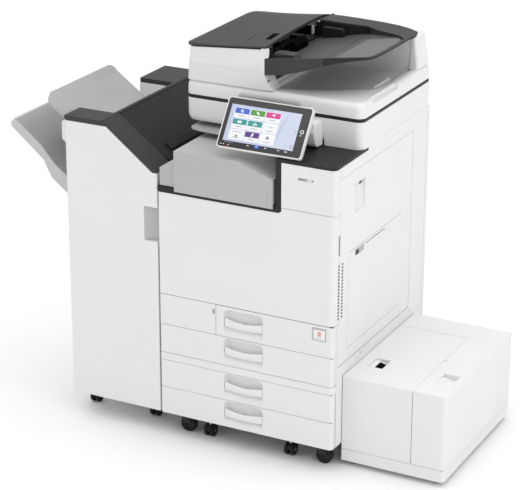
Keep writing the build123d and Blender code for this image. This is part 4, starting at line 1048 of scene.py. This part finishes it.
shell("right_cover", 1.0, 3, None, (((586.4, 590), (25, 700), (956.6, 957.2)),))
for number, screw_y in enumerate((196, 568)):
    screw = lathe(f"cover_screw_{number}", [(3.6, 586.6), (3.6, 587.0), (3.1, 587.3), (0.2, 587.35)], "x",
                  (screw_y, 322), 24)
    dress(screw, *MAIN, "pocket_gray")

# ---- bridge unit ---------------------------------------------------------------------------------
bridge = copy_node("bridge_unit")
for x, z in (((369.0, 369.8), (826.5, 867)), ((369.0, 386.5), (866.4, 867.2))):
    carve(bridge, slab("tab", x, (-5, -3.2), z))
soften(bridge, 2.6, 4)
dress(bridge, *seat("bridge_unit"), "gray_cover", replaces=["bridge_unit"])

# ---- large paper tray ----------------------------------------------------------------------------
lct = copy_node("lct_body")
for x, y, z in (((585, 925), (66, 68.2), (55.6, 57.0)), ((921.8, 925), (60, 610), (55.9, 56.7)),
                ((815.3, 816.9), (66, 68.4), (56, 298)), ((815.6, 816.4), (499, 606), (296.2, 298)),
                ((921.8, 925), (496.6, 497.4), (56, 298)), ((816.4, 925), (497.0, 497.8), (296.2, 298)),
                ((921.9, 925), (74, 600), (47.0, 47.6)), ((585, 816), (499.4, 500.0), (296.4, 298))):
    carve(lct, slab("line", x, y, z))
soften(lct, 2.0, 3, 40)
dress(lct, *LCT, replaces=["lct_body"])
dress(soften(slab("lct_front_rim", (589, 815.3), (67.02, 70.05), (282, 297.05)), 1.0, 4), *LCT)
SEAMS = (((815.1, 816.9), (67.9, 69.2), (57, 290)), ((590, 815), (67.6, 69.0), (55.6, 57.0)),
         ((817, 921), (67.6, 69.0), (55.6, 57.0)), ((921.0, 921.8), (80, 603), (55.6, 57.0)),
         ((815.8, 817.0), (70.5, 604), (293, 296.2)), ((590, 815), (498.1, 499.9), (293, 296.0)),
         ((921.0, 921.9), (496.2, 497.8), (58, 296)))
for number, (x, y, z) in enumerate(SEAMS):
    dress(slab(f"lct_seam_{number}", x, y, z), *LCT, "pocket_gray" if number else "charcoal_dark")
lid = copy_node("lct_lid")
carve(lid, slab("lid_trim", (580, 830), (60, 70.15), (280, 300)))
soften(lid, 1.0, 3)
dress(lid, *LCT_LID, replaces=["lct_lid"])


def lid_floor(x, y):
    return 283.4 + 9.5 * clamp((657 - x) / 28) ** 1.4


bowl = drape("lct_lid_bowl", rect((626.6, 671.4), (168.6, 233.4), 5, 5), lambda x, y: lid_floor(x, y) + 0.8,
             lid_floor, 6.0)
dress(soften(bowl, 0.3), *LCT_LID)
# A flat black sheet on the bowl's floor: painted shade of the finger hole in the lid.
hole = drape("lct_lid_hole_shade", rect((641, 670), (170.5, 226), 3, 4),
             lambda x, y: lid_floor(x, y) + 1.6, lambda x, y: lid_floor(x, y) + 0.4)
dress(soften(hole, 0.3), *LCT_LID, "void_black")


def lever_floor(x, y):
    return 281.0 + 13.0 * clamp((884 - x) / 30) ** 1.3 * clamp((226 - y) / 40 + 0.3)


lever_bowl = drape("lct_lever_bowl", rect((853.4, 902.6), (169.4, 222.6), 6, 5),
                   lambda x, y: min(296.4, lever_floor(x, y) + 0.8), lambda x, y: 280.2, 5.0)
dress(smooth_shade(lever_bowl, 50), *LCT)
pin_dot = lathe("lct_hinge_dot", [(3.2, 296.9), (3.2, 297.0), (2.6, 297.05), (0.2, 297.05)], "z",
                (819.5, 313), 20)
dress(pin_dot, *LCT, "pocket_gray")

# ---- finisher ------------------------------------------------------------------------------------
plastic("tray_shadow", (0.33, 0.33, 0.335), 0.34, grain=1.6, bump=0.1, drift=0.05, coat=0.15)

box = copy_node("finisher_body")
carve(box, slab("bump_room", (-365, -325.2), (28, 90), (877, 982)))
soften(box, 1.6, 3)
dress(box, *FINISHER, replaces=["finisher_body"])
bump = prism("finisher_bump", rounded([(-324.6, 976), (-342, 974), (-354, 965), (-354, 910), (-328, 890),
                                       (-324.6, 889)], [1, 8, 9, 9, 4, 1], 6), "y", 28.5, 78.0)
dress(soften(bump, 3.0, 4, 40), *FINISHER)

door = copy_node("finisher_door")
soften(door, 3.4, 4, 40)
dress(door, *FINISHER_DOOR, replaces=["finisher_door"])
well = []
for step in range(9):
    t = step / 8
    well.append([(-51.9 + 46.4 * t, 3.0 + 13.5 * math.sin(t * math.pi / 2) ** 0.8, z) for z in (641, 749)])
well = [[(a[0], a[1], a[2]), (b[0], b[1], b[2]), (b[0], 17.6, b[2]), (a[0], 17.6, a[2])] for a, b in well]
dress(smooth_shade(loft("finisher_grip", well), 60), *FINISHER_DOOR, "gray_cover")

CAP_SLOPE = 0.75  # fall for each millimetre to the right
cap = copy_node("finisher_cap")
fold = [(-186.0, 1006.0), (-186.0, 994.6), (-3.0, 860.6), (-3.0, 874.0), (-180.0, 1008.0)]
carve(cap, prism("fold_cut", fold, "y", 89.0, 620.0))
carve(cap, slab("ridge_notch", (-199, -180), (176.0, 190.0), (1004.5, 1012)))
soften(cap, 2.6, 4, 25)
dress(cap, *FINISHER_CAP, replaces=["finisher_cap"])
inner = prism("slope_panel", [(-185.8, 995.4), (-185.8, 992.8), (-12.0, 865.4), (-12.0, 868.0)],
              "y", 89.4, 610.0)
dress(soften(inner, 0.4), *FINISHER_CAP, "charcoal_dark")
for number, ((left, right), y) in enumerate((((-60, -36), (150, 430)), ((-30, -14), (96, 300)))):
    corners = ((left, 866.5), (right, 866.5), (right, 861), (left, 861))
    rise = [(x, level - (x + 4) * CAP_SLOPE) for x, level in corners]
    dress(soften(prism(f"slope_step_{number}", rise, "y", *y), 1.0), *FINISHER_CAP, "charcoal_dark")

UPPER_LINE = [(-430, 1034.5), (-330, 963), (-207, 893)]


def upper_top(x, y):
    edge = 1.6 * clamp((47 - y) / 4)
    return along(UPPER_LINE, x) + edge - 4.5 * clamp((y - 306) / 5) * clamp((x + 414) / 5)


upper = drape("upper_tray_shell", rounded([(-428, 84), (-411, 41), (-327.5, 41), (-327.5, 94), (-207.5, 94),
                                           (-207.5, 445), (-428, 445)], [26, 16, 2, 2, 2, 2, 20], 8),
              upper_top, lambda x, y: along(UPPER_LINE, x) - 4.4 - 2.0 * clamp((60 - y) / 12), 8.0)
dress(soften(upper, 1.2, 3, 40), *seat("upper_tray"), "tray_gray", ["upper_tray"])

SIDE_LINE = [(-554.5, 915), (-440, 822), (-427, 795), (-409, 765), (-360, 728), (-327.6, 704), (-327.6, 760),
             (-360, 784), (-398, 812), (-446, 866), (-526, 927), (-544, 938.5), (-555.3, 930)]
FLOOR_LINE = [(-556, 936), (-526, 921.5), (-446, 861), (-398, 807), (-360, 779), (-327, 755)]


def floor_at(x, y):
    return along(FLOOR_LINE, x)


bed_plan = rounded([(-555, 54), (-327.6, 54), (-327.6, 442), (-555, 442)], [16, 0, 0, 16], 8)
bed = drape("shift_tray_shell", bed_plan, floor_at, lambda x, y: floor_at(x, y) - 5.0, 8.0)
dress(soften(bed, 1.0, 2, 40), *seat("shift_tray"), "tray_shadow", ["shift_tray"])
# The side walls and the tip take the lighter tray gray as painted light; the bed takes the darker tray_shadow
# as painted shade.
for name, near, far in (("shift_side_front", 50.0, 55.5), ("shift_side_rear", 439.5, 445.0)):
    side = prism(name, rounded(SIDE_LINE, [9, 14, 10, 8, 4, 0, 2, 8, 10, 10, 8, 9, 7], 4), "y", near, far)
    dress(soften(side, 1.6, 3, 40), *seat("shift_tray"), "tray_edge")
tip_bar = [(-555.4, 927), (-552, 918), (-546, 920), (-546, 933.0), (-552, 936.5)]
dress(soften(prism("shift_tip", rounded(tip_bar, 3, 4), "y", 62.0, 434.0), 1.0), *seat("shift_tray"),
      "tray_edge")
for number, (x, z) in enumerate(((-150, 620), (-150, 180))):
    dress(soften(slab(f"rear_hatch_{number}", (x - 110, x + 110), (611.2, 611.9), (z - 120, z + 120)), 0.4),
          *FINISHER)

# ---- inside the main unit ------------------------------------------------------------------------
def gear(name, teeth, radius, depth, centre, low, high):
    """A spur gear with its axis along y."""
    outline = []
    for tooth in range(teeth):
        for part, reach in ((0.0, -depth), (0.28, -depth), (0.40, 0.0), (0.60, 0.0), (0.72, -depth)):
            t = 2 * math.pi * (tooth + part) / teeth
            outline.append((centre[0] + (radius + reach) * math.cos(t),
                            centre[1] + (radius + reach) * math.sin(t)))
    return soften(prism(name, outline, "y", low, high), 0.2, 1)


UNIT_PITCH = 92.0
DRUM_Z, FUSER_Z, BOTTLE_Z = 566.0, 770.0, 716.0

for name, x, coat in (("fuser_roller", 496.0, "roller_coat"), ("pressure_roller", 536.4, "belt_film")):
    sleeve = [(7, 94.3), (18.6, 94.3), (19.6, 95.2), (19.9, 97), (19.9, 515), (19.6, 516.8), (18.6, 517.7),
              (7, 517.7)]
    dress(smooth_shade(lathe(f"{name}_sleeve", sleeve, "y", (x, FUSER_Z), 64), 40), *seat(name), coat, [name])
    shaft = [(4.8, 80.2), (5.9, 81.2), (5.9, 88), (5.2, 88.4), (5.2, 89.6), (5.9, 90),
             (5.9, 522), (5.2, 522.4), (5.2, 523.6), (5.9, 524), (5.9, 530.8), (4.8, 531.8)]
    dress(smooth_shade(lathe(f"{name}_shaft", shaft, "y", (x, FUSER_Z), 32), 40), *seat(name), "bright_steel")

laser = copy_node("laser_unit")
soften(laser, 2.0, 3)
dress(laser, *seat("laser_unit"), "black_plastic", ["laser_unit"])
for unit in range(4):
    x = UNIT_PITCH * (unit + 1)
    dress(soften(slab(f"laser_window_{unit}", (x - 5, x + 5), (140, 540), (529.6, 530.8)), 0.4),
          *seat("laser_unit"), "clear_lens")
for number, y in enumerate((170, 250, 330, 410, 490)):
    dress(soften(slab(f"laser_rib_{number}", (58.2, 60.2), (y, y + 6), (490, 526)), 0.5),
          *seat("laser_unit"), "black_plastic")

imaging = copy_node("imaging_units")
soften(imaging, 1.0, 2)
dress(imaging, *seat("imaging_units"), "black_plastic", ["imaging_units"])
plastic("drum_coat", (0.02, 0.10, 0.13), 0.15, grain=5, bump=0.03, drift=0.15, coat=0.6)
for unit in range(4):
    x = UNIT_PITCH * (unit + 1)
    drum = [(12, 76), (14.6, 76), (15.2, 77), (15.2, 553), (14.6, 554), (12, 554)]
    dress(smooth_shade(lathe(f"drum_{unit}", drum, "y", (x, DRUM_Z), 48), 40), *seat("imaging_units"),
          "drum_coat")
    grip = rect((x - 30, x + 6), (537, 549), 3, 4)
    dress(soften(prism(f"imaging_grip_{unit}", grip, "y", 64.5, 70.2), 0.8, 2), *seat("imaging_units"),
          "lever_green")
    dress(gear(f"drum_gear_{unit}", 26, 17.0, 2.0, (x, DRUM_Z), 554.5, 559.5), *seat("imaging_units"),
          "paper_white")

belt = copy_node("transfer_unit")
dress(smooth_shade(belt, 30), *seat("transfer_unit"), "belt_film", ["transfer_unit"])
for number, y in enumerate((69.6, 560.4)):
    side = rect((52, 428), (602, 626), 11, 6)
    dress(soften(prism(f"belt_side_{number}", side, "y", y - 1.4, y + 1.4), 0.4), *seat("transfer_unit"),
          "black_plastic")
dress(soften(slab("belt_lever", (50, 74), (60, 68), (608, 618)), 1.5, 3), *seat("transfer_unit"),
      "lever_green")

TONERS = ("toner_yellow", "toner_magenta", "toner_cyan", "black_plastic")
for unit, color in enumerate(TONERS):
    x = UNIT_PITCH * (unit + 1)
    profile = [(26, 71)]
    y = 76.0
    while y < 552:
        profile += [(31.8, y), (31.8, y + 9), (29.6, y + 12)]
        y += 15.0
    profile += [(31.8, 556), (27, 559.6)]
    bottle = lathe(f"toner_bottle_{unit}", profile, "y", (x, BOTTLE_Z), 40)
    dress(smooth_shade(bottle, 40), *TONER, replaces=["toner_bottles"] if unit == 0 else [])
    lid = [(17, 54.4), (19.4, 55), (19.9, 57), (19.9, 66), (27, 69), (29.5, 72), (29.5, 76)]
    dress(smooth_shade(lathe(f"toner_cap_{unit}", lid, "y", (x, BOTTLE_Z), 40), 40), *TONER, color)
    dress(soften(slab(f"toner_grip_{unit}", (x - 12, x + 12), (50.6, 55), (713, 719)), 1.2, 2), *TONER,
          color)

carriage = copy_node("scan_carriage")
soften(carriage, 0.8, 2)
dress(carriage, *seat("scan_carriage"), "black_plastic", ["scan_carriage"])
dress(soften(slab("scan_lamp", (44, 49), (230, 530), (1035.5, 1038.6)), 0.8, 2), *seat("scan_carriage"),
      "paper_white")
dress(soften(slab("scan_mirror", (30, 33.6), (230, 530), (1036.5, 1038.4)), 0.3), *seat("scan_carriage"),
      "bright_steel")

ROWS = (("drawer_4", 75.6, 164.9, 22), ("drawer_3", 166.1, 256.3, 22), ("drawer_2", 283.2, 376.1, 22),
        ("drawer_1", 377.3, 475.8, 204))
for name, low, high, left in ROWS:
    floor_z, rim_z = low + 4.5, high - 5
    tray = copy_node(f"{name}_tray")
    for y in (120, 200, 280, 360):
        carve(tray, slab("runner_slot", (left + 60, 500), (y, y + 8), (floor_z - 1, floor_z + 5)))
    soften(tray, 0.5, 2)
    home = seat(f"{name}_tray")
    dress(tray, *home, replaces=[f"{name}_tray"])
    for number, y in enumerate((100.0, 430.0)):
        fence = rounded([(left + 120, floor_z + 3), (left + 220, floor_z + 3), (left + 220, rim_z - 22),
                         (left + 205, rim_z - 12), (left + 135, rim_z - 12), (left + 120, rim_z - 22)], 4, 4)
        dress(soften(prism(f"{name}_fence_{number}", fence, "y", y, y + 5), 1.0, 2), *home,
              "drawer_plastic")
    lever = rect((left + 160, left + 182), (floor_z + 8, rim_z - 30), 4, 4)
    dress(soften(prism(f"{name}_lever", lever, "y", 96.0, 100.4), 1.2, 2), *home, "lever_green")
    plate = slab(f"{name}_plate", (left + 60, 520), (106, 428), (floor_z + 2.4, floor_z + 4.0))
    dress(soften(plate, 0.5), *home, "frame_steel")

# ---- rear and left covers ------------------------------------------------------------------------
back = copy_node("rear_cover")
for x, z in (((-5, 592), (476.0, 477.2)), ((300, 301.2), (480, 980)), ((-5, 592), (880, 881.2))):
    carve(back, slab("seam", x, (683.8, 690), z))
soften(back, 2.0, 3, 40)
dress(back, *seat("rear_cover"), replaces=["rear_cover"])
for number, (x, z) in enumerate([(x, z) for x in (14, 286, 316, 573) for z in (90, 466, 490, 866, 895, 962)]):
    head = [(4.2, 684.4), (4.2, 684.9), (3.4, 685.0), (1.6, 685.0), (1.5, 684.7), (0.1, 684.7)]
    screw = lathe(f"rear_screw_{number}", head, "y", (x, z), 20)
    dress(smooth_shade(screw, 40), *seat("rear_cover"), "bright_steel")

# ---- casters and feet ----------------------------------------------------------------------------
WHEEL_R, WHEEL_W = 26.0, 22.0
CASTERS = (("left", 65.0), ("right", 537.0))
FRONT_Y, REAR_Y = 60.0, 620.0
TRAIL = 14.0


def wheel(name, axis, centre, radius, width, mid, body):
    """A tyre with a rounded tread and, inside it, a hub with a raised ring on each face."""
    low, high = mid - width / 2, mid + width / 2
    r = radius
    tyre = [(r * 0.68, low + 1.2), (r * 0.74, low + 0.3), (r - 3.0, low), (r - 1.0, low + 1.0),
            (r, low + 3.4), (r, high - 3.4), (r - 1.0, high - 1.0), (r - 3.0, high),
            (r * 0.74, high - 0.3), (r * 0.68, high - 1.2)]
    rim = r * 0.69
    hub = [(4.3, low + 0.6), (6.8, low + 0.6), (7.6, low + 2.6), (rim * 0.78, low + 3.4),
           (rim * 0.86, low + 1.4), (rim, low + 1.4), (rim, high - 1.4), (rim * 0.86, high - 1.4),
           (rim * 0.78, high - 3.4), (7.6, high - 2.6), (6.8, high - 0.6), (4.3, high - 0.6)]
    for part, profile, look in (("tyre", tyre, "wheel_rubber"), ("hub", hub, "black_plastic")):
        piece = lathe(f"{name}_{part}", profile, axis, centre, 56, loop=True)
        dress(smooth_shade(piece, 35), body, SLOT_OF.get(name, "wheel_rubber"), look,
              [name] if part == "tyre" and name in SLOT_OF else [])


for side, x in CASTERS:
    wheel(f"front_wheel_{side}", "y", (x, WHEEL_R), WHEEL_R, WHEEL_W, FRONT_Y, f"front_wheel_{side}")
    wheel(f"rear_wheel_{side}", "x", (REAR_Y, WHEEL_R), WHEEL_R, WHEEL_W, x, f"rear_wheel_{side}")
    pivot = x - TRAIL
    race = [(15.9, 57.0), (15.9, 58.4), (14.4, 59.0), (14.4, 60.0), (15.9, 60.6), (15.9, 61.5)]
    parts = [lathe("race", race, "z", (pivot, FRONT_Y), 40)]
    top = rounded([(pivot - 15.8, FRONT_Y - 14.8), (x + 11.8, FRONT_Y - 14.8), (x + 11.8, FRONT_Y + 14.8),
                   (pivot - 15.8, FRONT_Y + 14.8)], [14, 6, 6, 14], 8)
    parts.append(soften(prism("fork_top", top, "z", 53.6, 57.0), 1.0, 3))
    for y in (FRONT_Y - 14.9, FRONT_Y + 12.1):
        leg = rounded([(x - 24, 54), (x + 10, 54), (x + 9, 26), (x + 6, 19.5), (x - 6, 19.5), (x - 10, 26)],
                      [2, 2, 6, 5, 5, 8], 5)
        parts.append(soften(prism("fork_leg", leg, "y", y, y + 2.8), 0.6, 2))
    parts.append(lathe("axle", [(3.9, FRONT_Y - 14.9), (3.9, FRONT_Y + 14.9)], "y", (x, WHEEL_R), 24))
    fork = merge(*parts)
    dress(fork, *seat(f"caster_fork_{side}"), replaces=[f"caster_fork_{side}"])
    fork.name = f"caster_fork_{side}_shell"

rear = []
for side, x in CASTERS:
    rear.append(soften(slab("plate", (x - 17, x + 17), (REAR_Y - 16, REAR_Y + 16), (57.5, 61.7)), 1.0, 3))
    for low in (x - 14.9, x + 12.1):
        leg = rounded([(REAR_Y - 14, 58), (REAR_Y + 14, 58), (REAR_Y + 8, 24), (REAR_Y + 5, 19.5),
                       (REAR_Y - 5, 19.5), (REAR_Y - 8, 24)], [2, 2, 8, 4, 4, 8], 5)
        rear.append(soften(prism("leg", leg, "x", low, low + 2.8), 0.6, 2))
    rear.append(lathe("axle", [(3.9, x - 14.9), (3.9, x + 14.9)], "x", (REAR_Y, WHEEL_R), 24))
brackets = merge(*rear)
brackets.name = "fixed_casters_shell"
dress(brackets, *seat("fixed_casters"), replaces=["fixed_casters"])


def twin_caster(name, x, y, radius, stem_top, body, slot):
    """Two wheels on one axle with a hood over them, turning under a steel stem."""
    hood = []
    for step in range(13):
        t = math.pi * step / 12
        hood.append((y - (radius - 2) * math.cos(t), radius + 2 + (radius - 3) * math.sin(t)))
    dress(soften(prism(f"{name}_hood", hood, "x", x - 4.2, x + 4.2), 1.2, 3), body, slot, "charcoal_dark")
    stem = [(5.5, radius * 1.6), (5.5, stem_top - 6), (9.5, stem_top - 5), (9.5, stem_top - 0.3)]
    dress(smooth_shade(lathe(f"{name}_stem", stem, "z", (x, y), 28), 40), body, slot, "frame_steel")
    for side, mid in (("a", x - 10), ("b", x + 10)):
        wheel(f"{name}_wheel_{side}", "x", (y, radius), radius, 11.5, mid, body)
    dress(lathe(f"{name}_axle", [(4.6, x - 16), (4.6, x + 16)], "x", (y, radius), 20), body, slot,
          "bright_steel")


for number, x in enumerate((141.5, 421.5)):
    twin_caster(f"twin_{number}", x, 60.0, 20.0, 61.8, *seat("fixed_casters"))
    dress(soften(slab(f"twin_plate_{number}", (x - 13, x + 13), (46, 74), (57.6, 61.7)), 1.0, 2),
          *seat("fixed_casters"), "frame_steel")
for i, x in enumerate((-305.0, -82.0)):
    for j, y in enumerate((107.0, 540.0)):
        twin_caster(f"finisher_caster_{i}{j}", x, y, 19.0, 74.8, *seat("finisher_feet"))
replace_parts(bpy.data.objects["finisher_caster_00_stem"], "finisher_feet")

for i, x in enumerate((620.0, 895.0)):
    for j, y in enumerate((100.0, 575.0)):
        pad = [(10.4, 0.0), (11.0, 1.0), (11.0, 4.5), (9.5, 6.0), (5.2, 7.0), (4.6, 8.0), (4.6, 12.0),
               (9.0, 12.4), (9.6, 13.0), (9.6, 16.4), (9.0, 17.4)]
        foot = smooth_shade(lathe(f"lct_foot_{i}{j}", pad, "z", (x, y), 40), 40)
        dress(foot, *seat("lct_feet"), "pocket_gray", ["lct_feet"] if i == j == 0 else [])

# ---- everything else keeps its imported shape, with softened edges ---------------------------------
EDGE = {"left_cover": 1.2, "platen_glass": 0.3, "power_inlet": 0.3, "power_switch": 0.3}
PLAIN_EDGE = 0.8
done = {n for o in bpy.data.objects for n in o.get("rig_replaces", [])}
for node in sorted(SLOT_OF):
    if node not in done:
        shell(node, EDGE.get(node, PLAIN_EDGE))

# ---- floor, light and camera ---------------------------------------------------------------------
FLOOR_REACH = 90.0


def studio_floor():
    mesh = bpy.data.meshes.new("studio_floor")
    corners = [(x * FLOOR_REACH, y * FLOOR_REACH, 0) for x, y in ((-1, -1), (1, -1), (1, 1), (-1, 1))]
    mesh.from_pydata(corners, [], [(0, 1, 2, 3)])
    floor = link("studio_floor", mesh)
    plastic("floor_paint", (0.88, 0.88, 0.88), 0.75, grain=6, bump=0.02, drift=0.004)
    mesh.materials.append(MATERIALS["floor_paint"])


def add_light(name, kind, energy, towards, at=(0.0, 0.0, 0.0)):
    lamp = bpy.data.lights.new(name, kind)
    lamp.energy = energy
    obj = link(name, lamp)
    obj.location = at
    obj.rotation_euler = (Vector(towards) - Vector(at)).to_track_quat("-Z", "Y").to_euler()
    return lamp


studio_floor()
LAMP_SIZE = 2.6
for name, power, towards, at in (("key_right", 40, (0.2, 0.0, 0.6), (4.6, -1.5, 1.9)),
                                 ("fill_left", 14, (0.0, 0.0, 0.7), (-3.4, -4.4, 2.0))):
    add_light(name, "AREA", power, towards, at).size = LAMP_SIZE
add_light("soft_sun", "SUN", 1.95, (0.0, 0.05, -1.0)).angle = math.radians(90)

SKY_STRENGTH = 0.56
world = bpy.data.worlds.new("studio_world")
world.use_nodes = True
world.node_tree.nodes["Background"].inputs["Color"].default_value = (1.0, 1.0, 1.0, 1.0)
world.node_tree.nodes["Background"].inputs["Strength"].default_value = SKY_STRENGTH
bpy.context.scene.world = world
bpy.context.scene.view_settings.view_transform = "Standard"

CAMERA_AT = Vector((2.65365, -5.17220, 2.80230))
CAMERA_AIM = Vector((0.17051, -0.34050, 0.69745))
CAMERA_ROLL = math.radians(0.17)
FOCAL_LENGTH = 135.7
lens = bpy.data.cameras.new("camera")
lens.sensor_width = 36
lens.lens = FOCAL_LENGTH
lens.clip_end = 60
camera = link("camera", lens)
look = (CAMERA_AIM - CAMERA_AT).to_track_quat("-Z", "Y").to_matrix().to_4x4()
camera.matrix_world = Matrix.Translation(CAMERA_AT) @ look @ Matrix.Rotation(CAMERA_ROLL, 4, "Z")
bpy.context.scene.camera = camera

bpy.context.view_layer.update()
